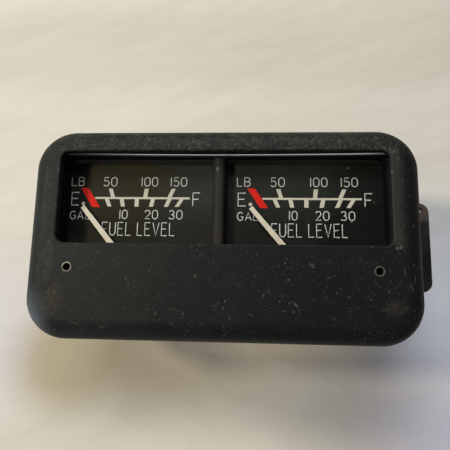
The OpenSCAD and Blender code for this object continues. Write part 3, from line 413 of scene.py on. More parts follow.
# Metals of the fittings and the movements
metalLooks = {
    # the bushes' brass turns darker below its front face: painted shade down the bore
    "bushBrass": {"tone": (0.132, 0.124, 0.100), "tarnish": (0.065, 0.055, 0.040), "rough": 0.46, "aged": 1.0,
                  "shadeBelow": 56.1, "boreShade": (0.006, 0.005, 0.004)},
    "studBrass": {"tone": (0.60, 0.43, 0.17), "tarnish": (0.17, 0.10, 0.04), "rough": 0.30, "aged": 0.8},
    "turnedBrass": {"tone": (0.68, 0.50, 0.21), "tarnish": (0.30, 0.19, 0.08), "rough": 0.26, "aged": 0.5},
    "screwSteel": {"tone": (0.46, 0.45, 0.43), "tarnish": (0.13, 0.085, 0.05), "rough": 0.32, "aged": 0.75},
    "weightSteel": {"tone": (0.50, 0.49, 0.48), "tarnish": (0.22, 0.19, 0.16), "rough": 0.28, "aged": 0.4},
    "rivetAluminium": {"tone": (0.62, 0.62, 0.61), "tarnish": (0.26, 0.25, 0.23),
                       "rough": 0.42, "aged": 0.8},
    "chassisAluminium": {"tone": (0.66, 0.66, 0.65), "tarnish": (0.38, 0.37, 0.35),
                         "rough": 0.38, "aged": 0.5},
    "formerAluminium": {"tone": (0.70, 0.70, 0.69), "tarnish": (0.42, 0.41, 0.39),
                        "rough": 0.30, "aged": 0.4},
    "pinSteel": {"tone": (0.36, 0.30, 0.26), "tarnish": (0.17, 0.13, 0.11), "rough": 0.50, "aged": 0.6},
    "springBronze": {"tone": (0.55, 0.33, 0.14), "tarnish": (0.20, 0.11, 0.06), "rough": 0.24, "aged": 0.5},
    "magnetIron": {"tone": (0.21, 0.205, 0.20), "tarnish": (0.075, 0.062, 0.052), "rough": 0.45, "aged": 0.8},
}


def fittingMetal(name, look):
    finish, place = newFinish(name)
    stain = rise(clouds(place, 2.2, 5.0, 0.65), 0.42, 0.68)
    tool = clouds(turned(place, 0, (6, 6, 0.09)), 1.0, 2.0)   # fine turning lines
    rim = edges(place, 0.18)
    grime = crevices(place, 0.8)
    spots = specks(place, 0.9, 0.35, 0.4)
    tarnish = (stain * 0.75 + spots * 0.4 + grime * 0.8) * look["aged"] * (1 - rim * 0.6)
    tone = blendTones(tarnish, look["tone"], look["tarnish"])
    # painted shade: the bush darker below its front face, down the bore
    if "shadeBelow" in look:
        depth = rise(axes(place)[2], look["shadeBelow"], look["shadeBelow"] - 0.12)
        tone = blendTones(depth, tone, look["boreShade"])
    rough = look["rough"] + tarnish * 0.28 + (tool - 0.5) * 0.14 - rim * 0.06
    metal = 1 - tarnish * 0.35
    height = (tool - 0.5) * 0.006 + clouds(place, 0.5, 3.0) * 0.004 - spots * 0.006
    closeFinish(place, tone, rough, bump(place, height, 0.12), {"Metallic": metal})
    return finish


# Dials, mask, print and needles
dialLook = {
    "black": (0.0185, 0.0187, 0.0165),
    "brownish": (0.0256, 0.0216, 0.0098),
    "greyReflection": (0.0280, 0.0280, 0.0235),
    "deepShade": (0.0025, 0.0024, 0.0020),
    "shadowLiftMargin": (0.130, 0.120, 0.090),
    "mask": (0.0012, 0.0012, 0.0011),
    "maskLitLeft": (0.0168, 0.0166, 0.0150),
    "maskBrownLow": (0.028, 0.019, 0.010),
    "cream": (0.505, 0.465, 0.385),
    "ivory": (0.545, 0.540, 0.515),
    "creamDull": (0.355, 0.315, 0.245),
    "ivoryDull": (0.40, 0.39, 0.36),
    "red": (0.590, 0.010, 0.002),
    "redDull": (0.470, 0.010, 0.003),
    "needle": (0.570, 0.500, 0.390),
    "lint": (0.12, 0.11, 0.09),
    "maskLint": (0.15, 0.14, 0.12),
    "pits": (0.20, 0.16, 0.10),
}


def dialBlack(look):
    finish, place = newFinish("dialBlack")
    x, y = axes(place)[:2]
    haze = rise(clouds(place, 11, 4.0), 0.35, 0.7)
    grain = clouds(place, 0.35, 4.0, 0.7)
    # the left dial is lighter than the right one; its brown towards the left is painted warm lamp light and
    # its grey towards the right a painted reflection of the pane
    left = rise(x, 2.0, -2.0)
    aged = blendTones(rise(x, -24.0, -10.0), look["brownish"], look["greyReflection"])
    tone = blendTones(left * (0.8 + haze * 0.2), look["black"], aged)
    tone = blendTones(rise(grain, 0.5, 0.8) * 0.25, tone, look["brownish"])
    # painted shade: darker low on the dials, against the sky lamp's light there, and at the left dial's left
    # end, in the shadow of the window's wall; darker also towards the right dial's right end
    low = rise(y, 15.0, 1.0)
    shadeLeft = low * 0.60 + rise(x, -38.5, -43.0) * 0.7
    shadeRight = low * 0.72 + rise(x, 24.0, 42.0) * 0.85
    tone = blendTones(left * shadeLeft + (1 - left) * shadeRight, tone, look["deepShade"])
    # painted light: a paler margin under the mask's top bar, lifting the shadow that the bar casts on the
    # dial
    tone = blendTones(rise(y, 21.2, 22.0) * (0.45 + left * 0.35), tone, look["shadowLiftMargin"])
    tone = blendTones(specks(place, 2.4, 0.12, 0.25) * 0.4, tone, look["lint"])
    rough = 0.66 + (grain - 0.5) * 0.2
    height = clouds(place, 0.25, 3.0) * 0.006
    closeFinish(place, tone, rough, bump(place, height), {"Specular IOR Level": 0.1})
    return finish


def maskPlastic(look):
    # matt frame; the divider's left face painted lighter grey, a painted highlight where the lamp at the left
    # falls, and browner low down
    finish, place = newFinish("maskPlastic")
    x, y = axes(place)[:2]
    grain = clouds(place, 0.5, 4.0, 0.65)
    maskBlotch = rise(clouds(place, 3.5, 4.0), 0.48, 0.7)
    lint = patch(place, (-1.6, 18.6, 51.5), (0.5, 0.9, 1.5)) | specks(place, 2.2, 0.2, 0.3) * 0.3
    litLeftFace = rise(x, 0.7, -0.5) * rise(x, -6.0, -4.0)
    tone = blendTones(litLeftFace * (0.6 + grain * 0.6), look["mask"], look["maskLitLeft"])
    tone = blendTones((maskBlotch * 0.3 + rise(y, 4.0, -2.0) * 0.5) * litLeftFace, tone, look["maskBrownLow"])
    tone = blendTones(lint * 0.5, tone, look["maskLint"])
    rough = 0.62 + maskBlotch * 0.15 + (grain - 0.5) * 0.15
    height = grain * 0.006 + lint * 0.02
    closeFinish(place, tone, rough, bump(place, height, 0.2), {"Specular IOR Level": 0.15})
    return finish


def printPaint(name, bright, dull):
    # screened ink, thin and a little uneven
    finish, place = newFinish(name)
    thin = rise(clouds(place, 0.8, 4.0, 0.7), 0.45, 0.75)
    age = rise(clouds(place, 7, 3.0), 0.4, 0.7)
    tone = blendTones(thin * 0.35 + age * 0.2, bright, dull)
    rough = 0.62 + thin * 0.15
    height = clouds(place, 0.2, 3.0) * 0.004
    closeFinish(place, tone, rough, bump(place, height), {"Specular IOR Level": 0.15})
    return finish


def needlePaint(look):
    finish, place = newFinish("needleCream")
    age = rise(clouds(place, 3.5, 4.0), 0.4, 0.7)
    pits = specks(place, 0.9, 0.3, 0.18)
    rim = edges(place, 0.12)
    tone = blendTones(age * 0.3 + rim * 0.15, look["needle"], look["creamDull"])
    tone = blendTones(pits * 0.5, tone, look["pits"])
    rough = 0.5 + age * 0.15
    height = clouds(place, 0.3, 3.0) * 0.005 - pits * 0.01
    closeFinish(place, tone, rough, bump(place, height, 0.1))
    return finish


# Insulators, winding, rubber and jewels
boardLook = {"dark": (0.052, 0.021, 0.009), "pale": (0.125, 0.056, 0.022), "fibre": (0.175, 0.092, 0.040),
             "dust": (0.15, 0.135, 0.105)}
windingLook = {"gap": (0.10, 0.032, 0.012), "wire": (0.52, 0.19, 0.065), "aged": (0.24, 0.075, 0.025),
               "turns": 48.0}
insulatorDust = (0.16, 0.145, 0.12)
rubyLook = {"dark": (0.30, 0.006, 0.022), "pale": (0.52, 0.018, 0.05)}


def boardLaminate(look):
    # brown paper laminate with its fibres and a worn gloss
    finish, place = newFinish("boardLaminate")
    fibre = clouds(turned(place, 17, (3.5, 0.22, 1.5)), 1.0, 4.0, 0.6)
    cross = clouds(turned(place, -71, (3.0, 0.25, 1.5)), 1.0, 4.0, 0.6)
    mottle = rise(clouds(place, 4.0, 5.0, 0.6), 0.35, 0.7)
    tone = blendTones(mottle * 0.6 + rise(fibre, 0.5, 0.72) * 0.5, look["dark"], look["pale"])
    tone = blendTones(rise(cross, 0.58, 0.75) * 0.4, tone, look["fibre"])
    settled = specks(place, 1.2, 0.4, 0.35) * rise(clouds(place, 8, 3.0), 0.5, 0.65)
    settled = settled | crevices(place, 2.5) * 0.55
    tone = blendTones(settled * 0.6, tone, look["dust"])
    lines = streaks(place, 35, 10, 0.12, 0.66, 8)
    rough = 0.36 + mottle * 0.14 + settled * 0.35 + lines * 0.2
    height = fibre * 0.01 + cross * 0.006 - lines * 0.01
    closeFinish(place, tone, rough, bump(place, height, 0.25))
    return finish


def windingCopper(look):
    # turns of enamelled wire laid side by side along the coil's width
    finish, place = newFinish("windingCopper")
    turns = place.add("Math", {"operation": "SINE"}, {0: axes(place)[0] * look["turns"]})
    lay = rise(turns, -0.9, 0.6)
    age = rise(clouds(place, 2.0, 4.0), 0.4, 0.7)
    tone = blendTones(lay, look["gap"], look["wire"])
    tone = blendTones(age * 0.4, tone, look["aged"])
    closeFinish(place, tone, 0.28 + age * 0.15, bump(place, lay * 0.03), {"Metallic": 0.55})
    return finish


def softInsulator(name, dark, pale, size, rough):
    # fibre, rubber and wire covering
    finish, place = newFinish(name)
    mottle = rise(clouds(place, size, 5.0, 0.65), 0.35, 0.7)
    grain = clouds(place, size / 6, 3.0)
    spots = specks(place, 1.0, 0.35, 0.3)
    tone = blendTones(mottle, dark, pale)
    tone = blendTones(spots * 0.35, tone, insulatorDust)
    closeFinish(place, tone, rough + mottle * 0.15 + spots * 0.1, bump(place, grain * 0.015, 0.1))
    return finish


def rubyStone(look):
    finish, place = newFinish("rubyStone")
    cloud = rise(clouds(place, 0.5, 4.0), 0.35, 0.7)
    tone = blendTones(cloud, look["dark"], look["pale"])
    closeFinish(place, tone, 0.08 + cloud * 0.08, bump(place, cloud * 0.002), {"IOR": 1.77})
    return finish


# Clear pane: polished faces and a rough sawn edge, whose top edge is painted bright and given a glow: painted
# highlight and glow for the light the pane carries
lensLook = {"gloss": 0.035, "mirror": 0.004, "grazing": 0.95, "tint": (0.99, 0.995, 0.99),
            "film": (0.30, 0.28, 0.24), "edge": (0.86, 0.85, 0.82), "edgeDark": (0.03, 0.03, 0.03),
            "glow": (0.190, 0.188, 0.180), "glowDark": (0.003, 0.003, 0.003)}


def lensFace(look):
    finish, place = newFinish("lensFace")
    smear = rise(clouds(turned(place, 25, (9, 3, 9)), 1.0, 4.0), 0.5, 0.75)
    lint = specks(place, 3.2, 0.16, 0.3)
    scratch = streaks(place, 14, 9, 0.06, 0.68, 6) | streaks(place, -47, 6, 0.05, 0.69, 6)
    clear = place.add("BsdfTransparent", None, {"Color": look["tint"]})
    gloss = place.add("BsdfGlossy", None, {"Color": (1, 1, 1), "Roughness": look["gloss"]})
    facing = place.add("LayerWeight", None, {"Blend": 0.5}, out="Facing")
    square = facing * facing
    share = square * square * facing * look["grazing"] + look["mirror"]
    pane = place.add("MixShader", None, {0: share, 1: clear, 2: gloss})
    film = place.add("BsdfDiffuse", None, {"Color": look["film"]})
    cover = smear * 0.004 + lint * 0.25 + scratch * 0.05
    whole = place.add("MixShader", None, {0: cover, 1: pane, 2: film})
    place.add("OutputMaterial", None, {"Surface": whole})
    return finish


def lensEdge(look):
    finish, place = newFinish("lensEdge")
    x, y, z = axes(place)
    saw = clouds(turned(place, 0, (0.25, 3, 3)), 1.0, 4.0, 0.6)
    ends = rise(x, -47.0, -16.0) * rise(x, 48.5, 36.0)
    # painted highlight and glow along the middle of the pane's top edge
    paintedGlowBand = ends * (0.60 + saw * 0.5) * rise(y, 20.0, 21.5) * rise(z, 52.95, 53.30)
    tone = blendTones(paintedGlowBand, look["edgeDark"], look["edge"])
    glow = blendTones(paintedGlowBand, look["glowDark"], look["glow"])
    closeFinish(place, tone, 0.45 + saw * 0.2, bump(place, saw * 0.02),
                {"Emission Color": glow, "Emission Strength": 1.0})
    return finish


finishes = {
    "bezel": bezelPlastic(bezelLook),
    "case": enamelSheet("caseEnamel", caseLook),
    "ear": enamelSheet("earEnamel", earLook),
    "dial": dialBlack(dialLook),
    "mask": maskPlastic(dialLook),
    "cream": printPaint("creamInk", dialLook["cream"], dialLook["creamDull"]),
    "ivory": printPaint("ivoryInk", dialLook["ivory"], dialLook["ivoryDull"]),
    "red": printPaint("redInk", dialLook["red"], dialLook["redDull"]),
    "needle": needlePaint(dialLook),
    "board": boardLaminate(boardLook),
    "winding": windingCopper(windingLook),
    "fibre": softInsulator("greyFibre", (0.10, 0.085, 0.065), (0.20, 0.175, 0.14), 1.2, 0.7),
    "rubber": softInsulator("gasketRubber", (0.003, 0.003, 0.003), (0.009, 0.0088, 0.0085), 2.0, 0.7),
    "lead": softInsulator("leadCover", (0.24, 0.020, 0.012), (0.36, 0.040, 0.024), 2.5, 0.42),
    "ruby": rubyStone(rubyLook),
    "lensFace": lensFace(lensLook),
    "lensEdge": lensEdge(lensLook),
}
for metalName, metalLook in metalLooks.items():
    finishes[metalName] = fittingMetal(metalName, metalLook)

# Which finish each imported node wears
nodeFinish = {
    "bezel": "bezel", "lens_gasket": "rubber", "dial_mask": "mask", "dial_posts": "turnedBrass",
    "stop_pins": "pinSteel", "spring_holders": "turnedBrass", "holder_pads": "fibre",
    "core_pins": "turnedBrass", "yoke_screws": "screwSteel", "pillars": "turnedBrass",
    "bridge_screws": "screwSteel", "jewel_screws": "turnedBrass", "jewel_nuts": "turnedBrass",
    "jewels": "ruby", "chassis_plate": "chassisAluminium", "chassis_screws": "screwSteel", "case": "case",
    "case_standoffs": "turnedBrass", "terminal_board": "board", "side_bracket": "ear",
}
pairFinish = {   # nodes that come left and right
    "dial": "dial", "pointer": "needle", "balance_weights": "weightSteel", "staffs": "weightSteel",
    "spring_collets": "turnedBrass", "coil_former": "formerAluminium", "coil_winding": "winding",
    "front_hairspring": "springBronze", "rear_hairspring": "springBronze", "core_magnet": "magnetIron",
    "yoke_ring": "magnetIron", "front_bridge": "turnedBrass", "rear_bridge": "turnedBrass",
}
for nodeName, finishName in pairFinish.items():
    for side in ("left", "right"):
        nodeFinish[nodeName + "_" + side] = finishName
for nodeName, finishName in nodeFinish.items():
    nodes[nodeName].material_slots[0].material = finishes[finishName]
print("finishes made:", len(finishes))


# Modelling helpers: sizes in millimetres, each piece left at the origin with its place in its mesh
weldGap = 0.0005


def meshFrom(shape, name):
    mesh = bpy.data.meshes.new(name)
    shape.to_mesh(mesh)
    shape.free()
    return mesh


def keepPiece(shape, name, finishNames, body, smooth=35):
    bmesh.ops.scale(shape, vec=(mm, mm, mm), verts=shape.verts)
    mesh = meshFrom(shape, name)
    for finishName in finishNames:
        mesh.materials.append(finishes[finishName])
    piece = bpy.data.objects.new(name, mesh)
    scene.collection.objects.link(piece)
    mesh.shade_smooth()
    mesh.set_sharp_from_angle(angle=math.radians(smooth))
    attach(piece, body)
    return piece


def closeShape(shape):
    bmesh.ops.remove_doubles(shape, verts=shape.verts, dist=weldGap)
    bmesh.ops.recalc_face_normals(shape, faces=shape.faces)


def drawProfile(shape, profile):
    # open line through pairs of radius and height
    points = [shape.verts.new((radius, 0, height)) for radius, height in profile]
    return points + [shape.edges.new(pair) for pair in zip(points, points[1:])]


def lathe(profile, steps=48):
    # profile spun about the upright axis
    shape = bmesh.new()
    bmesh.ops.spin(shape, geom=drawProfile(shape, profile), cent=(0, 0, 0), axis=(0, 0, 1), angle=math.tau,
                   steps=steps, use_merge=True)
    closeShape(shape)
    return shape


def cutPlane(shape, spot, normal, clear=False):
    everything = shape.verts[:] + shape.edges[:] + shape.faces[:]
    bmesh.ops.bisect_plane(shape, geom=everything, dist=1e-5, plane_co=spot, plane_no=normal,
                           clear_outer=clear)


def helix(root, crest, pitch, low, high, steps=28):
    # screw thread as one V drawn up round the axis, then cut square at both ends
    shape = bmesh.new()
    flat = pitch / 8
    start = low - pitch
    profile = [(root, start), (root, start + flat), (crest, start + pitch / 2 - flat / 2),
               (crest, start + pitch / 2 + flat / 2), (root, start + pitch)]
    turns = math.ceil((high - low) / pitch) + 2
    bmesh.ops.spin(shape, geom=drawProfile(shape, profile), cent=(0, 0, 0), axis=(0, 0, 1),
                   angle=math.tau * turns, steps=steps * turns, dvec=(0, 0, pitch / steps))
    bmesh.ops.remove_doubles(shape, verts=shape.verts, dist=weldGap)
    for spot, way in ((low, -1), (high, 1)):
        cutPlane(shape, (0, 0, spot), (0, 0, way), True)
    return shape


def pourMesh(whole, mesh):
    # adds a mesh to a shape and gives the vertices that came with it
    start = len(whole.verts)
    whole.from_mesh(mesh)
    whole.verts.ensure_lookup_table()
    return whole.verts[start:]


def addCopies(shape, spots, turns=None):
    # repeats the finished shape at each spot
    whole = bmesh.new()
    mesh = meshFrom(shape, "copyShape")
    for index, spot in enumerate(spots):
        fresh = pourMesh(whole, mesh)
        if turns:
            turn = Matrix.Rotation(turns[index], 3, "Z")
            bmesh.ops.rotate(whole, verts=fresh, cent=(0, 0, 0), matrix=turn)
        bmesh.ops.translate(whole, verts=fresh, vec=spot)
    bpy.data.meshes.remove(mesh)
    return whole


def mergeShapes(shapes):
    whole = bmesh.new()
    for shape in shapes:
        mesh = meshFrom(shape, "joinShape")
        whole.from_mesh(mesh)
        bpy.data.meshes.remove(mesh)
    return whole


def tubeMesh(paths, radius, kind, rounds):
    # round bars drawn along paths, as one mesh
    curve = bpy.data.curves.new("tubePath", "CURVE")
    curve.dimensions = "3D"
    curve.bevel_depth = radius
    curve.bevel_resolution = rounds
    curve.resolution_u = 10
    curve.use_fill_caps = True
    for path in paths:
        line = curve.splines.new(kind)
        line.points.add(len(path) - 1)
        for point, spot in zip(line.points, path):
            point.co = (*spot, 1)
        line.order_u = 3
        line.use_endpoint_u = True
    tube = bpy.data.objects.new("tubePath", curve)
    scene.collection.objects.link(tube)
    mesh = bpy.data.meshes.new_from_object(tube.evaluated_get(bpy.context.evaluated_depsgraph_get()))
    bpy.data.objects.remove(tube)
    bpy.data.curves.remove(curve)
    return mesh


# Clear pane, warped a little forward at its ends and sawn hollow along its top
lensSize = {"left": -46.8, "right": 46.8, "bottom": -4.6, "top": 22.5, "back": 52.0, "front": 54.0,
            "bow": 0.45, "hollow": 0.25, "lift": 0.12, "bevel": 0.12}


def makeLens(size):
    shape = bmesh.new()
    bmesh.ops.create_grid(shape, x_segments=36, y_segments=6, size=0.5)
    width = size["right"] - size["left"]
    height = size["top"] - size["bottom"]
    middle = ((size["left"] + size["right"]) / 2, (size["bottom"] + size["top"]) / 2, size["back"])
    bmesh.ops.scale(shape, vec=(width, height, 1), verts=shape.verts)
    bmesh.ops.translate(shape, verts=shape.verts, vec=middle)
    for vert in shape.verts:
        bend = (vert.co.x / size["right"]) ** 2
        vert.co.z += size["bow"] * bend
        if vert.co.y > size["top"] - 0.01:
            vert.co.y += (size["hollow"] + size["lift"]) * bend - size["hollow"]
    raised = bmesh.ops.extrude_face_region(shape, geom=shape.faces[:])
    lifted = [item for item in raised["geom"] if isinstance(item, bmesh.types.BMVert)]
    bmesh.ops.translate(shape, verts=lifted, vec=(0, 0, size["front"] - size["back"]))
    closeShape(shape)
    rimEdges = [edge for edge in shape.edges if edge.calc_face_angle(0) > 1]
    bmesh.ops.bevel(shape, geom=rimEdges, offset=size["bevel"], affect="EDGES", segments=2, profile=0.5,
                    material=-1)
    for face in shape.faces:
        face.material_index = 0 if abs(face.normal.z) > 0.95 else 1
    lens = keepPiece(shape, "clearLens", ["lensFace", "lensEdge"], "housing", 20)
    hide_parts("lens")


makeLens(lensSize)

# Brass bushes in the lower panel, with a fine thread down the bore
bushSize = {"spots": ((-41.7, -10.2, 0), (41.7, -10.2, 0)), "outer": 1.45, "bore": 0.88, "front": 56.2,
            "back": 50.2, "pitch": 0.4536, "threadDepth": 0.16}


def makeBushes(size):
    outer, bore, front, back = size["outer"], size["bore"], size["front"], size["back"]
    lip = bore + 0.12
    body = lathe([(bore + 0.02, back), (outer - 0.1, back), (outer, back + 0.1), (outer, front - 0.12),
                  (outer - 0.04, front - 0.03), (outer - 0.12, front - 0.005), (lip + 0.06, front - 0.005),
                  (lip, front - 0.03), (lip, front - 0.5), (bore + 0.01, front - 0.6)], 56)
    thread = helix(bore, bore + size["threadDepth"], size["pitch"], back, front - 0.6)
    bmesh.ops.reverse_faces(thread, faces=thread.faces)
    whole = addCopies(mergeShapes([body, thread]), size["spots"])
    bushes = keepPiece(whole, "threadedBushes", ["bushBrass"], "housing")
    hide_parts("thread_inserts")


makeBushes(bushSize)
print("lens and bushes made")

# Print on the dials: strokes in millimetres on the left dial, repeated on the right one
printLayout = {
    "pivot": (-25.5, -10.5),
    "repeat": 49.3,
    "face": 47.9,
    "thick": 0.035,
    "line": ((-38.05, 10.9), (-9.87, 10.9), 0.6),
    "lowTicks": ((-23.1, -12.1, 0.0, 12.8, 24.7, 32.2), 8.35, 10.7, 1.2),
    "highTicks": ((-18.3, 6.5, 24.0), 11.1, 13.75, 1.2),
    "redBar": (-32.9, 8.15, 13.95, 2.25),
    "dot": (-41.47, 9.19, 0.55),
    "words": (
        ("LB", -45.5, -41.5, 14.5, 17.3, 0.25), ("50", -35.8, -31.6, 14.4, 17.3, 0.26),
        ("100", -24.4, -19.4, 14.4, 17.3, 0.26), ("150", -15.7, -10.8, 14.4, 17.3, 0.26),
        ("E", -45.2, -42.7, 8.6, 12.7, 0.29), ("F", -9.1, -6.8, 8.6, 12.7, 0.29),
        ("GAL", -45.3, -39.2, 4.4, 7.0, 0.25), ("10", -30.5, -28.0, 4.6, 7.4, 0.26),
        ("20", -23.0, -19.0, 4.6, 7.4, 0.26), ("30", -15.9, -11.8, 4.6, 7.4, 0.26),
        ("FUEL LEVEL", -35.5, -13.9, -0.3, 3.75, 0.275),
    ),
}


def arc(centreX, centreY, radiusX, radiusY, start, end, steps=12):
    points = []
    for step in range(steps + 1):
        angle = math.radians(start + (end - start) * step / steps)
        points.append((centreX + radiusX * math.cos(angle), centreY + radiusY * math.sin(angle)))
    return points


# letters and figures as pen strokes, one unit high, with their widths
penStrokes = {
    "0": (0.62, [arc(0.31, 0.66, 0.31, 0.34, 0, 180) + arc(0.31, 0.34, 0.31, 0.34, 180, 360)
                 + [(0.62, 0.66)]]),
    "1": (0.06, [[(0.03, 0), (0.03, 1)]]),
    "2": (0.60, [arc(0.29, 0.71, 0.29, 0.29, 165, -38) + [(0, 0), (0.60, 0)]]),
    "3": (0.60, [arc(0.28, 0.755, 0.26, 0.245, 155, -90), arc(0.28, 0.255, 0.31, 0.255, 90, -155)]),
    "5": (0.60, [[(0.55, 1), (0.10, 1), (0.05, 0.53)] + arc(0.28, 0.32, 0.31, 0.32, 128, -150)]),
    "A": (0.68, [[(0, 0), (0.34, 1), (0.68, 0)], [(0.11, 0.32), (0.57, 0.32)]]),
    "B": (0.60, [[(0, 0), (0, 1), (0.32, 1)] + arc(0.32, 0.765, 0.24, 0.235, 90, -90) + [(0, 0.53)],
                 [(0.32, 0.53)] + arc(0.34, 0.265, 0.26, 0.265, 90, -90) + [(0, 0)]]),
    "E": (0.56, [[(0.54, 1), (0, 1), (0, 0), (0.56, 0)], [(0, 0.52), (0.46, 0.52)]]),
    "F": (0.54, [[(0.54, 1), (0, 1), (0, 0)], [(0, 0.50), (0.44, 0.50)]]),
    "G": (0.68, [arc(0.35, 0.5, 0.35, 0.5, 45, 325, 20) + [(0.66, 0.44), (0.40, 0.44)]]),
    "L": (0.52, [[(0, 1), (0, 0), (0.52, 0)]]),
    "U": (0.60, [[(0, 1)] + arc(0.30, 0.30, 0.30, 0.30, 180, 360) + [(0.60, 1)]]),
    "V": (0.64, [[(0, 1), (0.32, 0), (0.64, 1)]]),
    " ": (0.16, []),
}


def wordStrokes(text, left, right, low, high, pen):
    # sets a word into its box, pen width included
    gap = 0.27
    natural = sum(penStrokes[letter][0] for letter in text) + gap * (len(text) - 1)
    stretch = (right - left - pen) / natural
    tall = high - low - pen
    start = left + pen / 2
    strokes = []
    for letter in text:
        width, paths = penStrokes[letter]
        for path in paths:
            strokes.append(([(start + px * stretch, low + pen / 2 + py * tall) for px, py in path], pen))
        start += (width + gap) * stretch
    return strokes


def slantBar(pivot, thick, angle, low, high, width):
    # bar that leans towards the pivot and is cut level at both ends
    bar = bmesh.new()
    bmesh.ops.create_cube(bar, size=1.0)
    bmesh.ops.scale(bar, vec=(width, high - low, 2 * thick), verts=bar.verts)
    lean = math.tan(math.radians(angle))
    for vert in bar.verts:
        vert.co.x += lean * vert.co.y
    middle = (low + high) / 2
    bmesh.ops.translate(bar, verts=bar.verts, vec=(pivot[0] + lean * (middle - pivot[1]), middle, 0))
    return bar


def inkShape(strokes, layout, bars=()):
    # each stroke is drawn as a round bar, made a mesh and pressed flat on the dial
    pressed = mergeShapes([slantBar(layout["pivot"], layout["thick"], *bar) for bar in bars])
    for path, width in strokes:
        mesh = tubeMesh([[(px, py, 0) for px, py in path]], width / 2, "POLY", 3)
        fresh = pourMesh(pressed, mesh)
        bmesh.ops.scale(pressed, vec=(1, 1, 2 * layout["thick"] / width), verts=fresh)
        bpy.data.meshes.remove(mesh)
    bmesh.ops.translate(pressed, verts=pressed.verts, vec=(0, 0, layout["face"]))
    return addCopies(pressed, ((0, 0, 0), (layout["repeat"], 0, 0)))


def makePrint(layout):
    lineStart, lineEnd, lineWidth = layout["line"]
    dotX, dotY, dotR = layout["dot"]
    cream = [([lineStart, lineEnd], lineWidth), (arc(dotX, dotY, dotR / 2, dotR / 2, 0, 360, 16), dotR)]
    bars = []
    for key in ("lowTicks", "highTicks"):
        angles, low, high, width = layout[key]
        bars += [(angle, low, high, width) for angle in angles]
    keepPiece(inkShape(cream, layout, bars), "scalePrint", ["cream"], "housing")
    words = [stroke for word in layout["words"] for stroke in wordStrokes(*word)]
    keepPiece(inkShape(words, layout), "wordPrint", ["ivory"], "housing")
    keepPiece(inkShape([], layout, [layout["redBar"]]), "redBars", ["red"], "housing")


makePrint(printLayout)
print("dials printed")

# Terminal studs with their threads, nuts and washers
studSize = {
    "spots": ((-23, -10, 0), (23, -10, 0), (-23, 10, 0), (23, 10, 0)),
    "crest": 1.75, "root": 1.30, "pitch": 0.794, "tip": 0.0, "chamfer": 0.4, "grip": 1.5, "neck": 13.9,
    "headLow": 16.2, "headHigh": 18.0, "flats": 6.4,
    "nutLow": 11.0, "nutHigh": 13.6,
    "washerOuter": 3.6, "washerBore": 1.9, "washerLow": 13.6, "washerHigh": 14.2,
}


def ringLoop(shape, height, radius, dip=None, steps=48):
    # circle, or with a dip a hexagon of that inner radius whose corners drop where the chamfer cuts them
    made = bmesh.ops.create_circle(shape, segments=steps, radius=1.0)
    for vert in made["verts"]:
        angle = math.atan2(vert.co.y, vert.co.x)
        reach = radius
        drop = 0.0
        if dip is not None:
            lean = (angle + math.pi / 6) % (math.pi / 3) - math.pi / 6
            reach = radius / math.cos(lean)
            drop = max(0.0, reach - radius * 0.98) * dip
        vert.co = (reach * math.sin(angle), reach * math.cos(angle), height - drop)
    return list({edge for vert in made["verts"] for edge in vert.link_edges})


def hexBlock(flats, bore, low, high, mouth=0.25):
    # chamfered hexagon with a countersunk bore
    shape = bmesh.new()
    inner = flats / 2
    loops = [
        ringLoop(shape, low + mouth, bore), ringLoop(shape, low, bore + mouth),
        ringLoop(shape, low, inner * 0.94), ringLoop(shape, low, inner, -0.58),
        ringLoop(shape, high, inner, 0.58), ringLoop(shape, high, inner * 0.94),
        ringLoop(shape, high, bore + mouth), ringLoop(shape, high - mouth, bore),
    ]
    for first, second in zip(loops, loops[1:] + loops[:1]):
        bmesh.ops.bridge_loops(shape, edges=first + second)
    bmesh.ops.recalc_face_normals(shape, faces=shape.faces)
    return shape


def makeStuds(size):
    tip, root, crest, neck, grip = (size[key] for key in ("tip", "root", "crest", "neck", "grip"))
    shoulder = tip + size["chamfer"]
    seat = size["headLow"] + 0.1
    thread = helix(root, crest, size["pitch"], shoulder, neck)
    core = lathe([(0, tip), (root - 0.1, tip), (crest - 0.12, shoulder), (root - 0.02, shoulder + 0.1),
                  (root - 0.02, neck), (grip, neck), (grip, seat), (0, seat)])
    head = hexBlock(size["flats"], 0.35, size["headLow"], size["headHigh"], 0.3)
    whole = addCopies(mergeShapes([thread, core, head]), size["spots"])
    studs = keepPiece(whole, "threadedStuds", ["studBrass"], "housing")
    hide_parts("terminal_studs")
    nut = hexBlock(size["flats"], crest - 0.03, size["nutLow"], size["nutHigh"], 0.28)
    nuts = keepPiece(addCopies(nut, size["spots"]), "studNuts", ["studBrass"], "housing")
    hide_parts("stud_nuts")
    low, high = size["washerLow"], size["washerHigh"]
    outer, bore = size["washerOuter"], size["washerBore"]
    washer = lathe([(bore, low + 0.08), (bore + 0.08, low), (outer - 0.18, low), (outer - 0.05, low + 0.06),
                    (outer, low + 0.18), (outer, high - 0.08), (outer - 0.06, high), (bore, high),
                    (bore, low + 0.08)])
    washers = keepPiece(addCopies(washer, size["spots"]), "studWashers", ["screwSteel"], "housing")
    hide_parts("stud_washers")


makeStuds(studSize)

# Slotted pan-head screws that hold the case
screwSize = {
    "spots": ((-43.9, -19.4, 0), (43.9, -19.4, 0), (-43.9, 19.4, 0), (43.9, 19.4, 0)),
    "turns": (0.5, 1.3, -0.4, 0.9), "head": 2.2, "top": 11.5, "seat": 13.0, "shank": 1.1, "end": 21.2,
    "slot": 0.62, "slotDepth": 0.75,
}


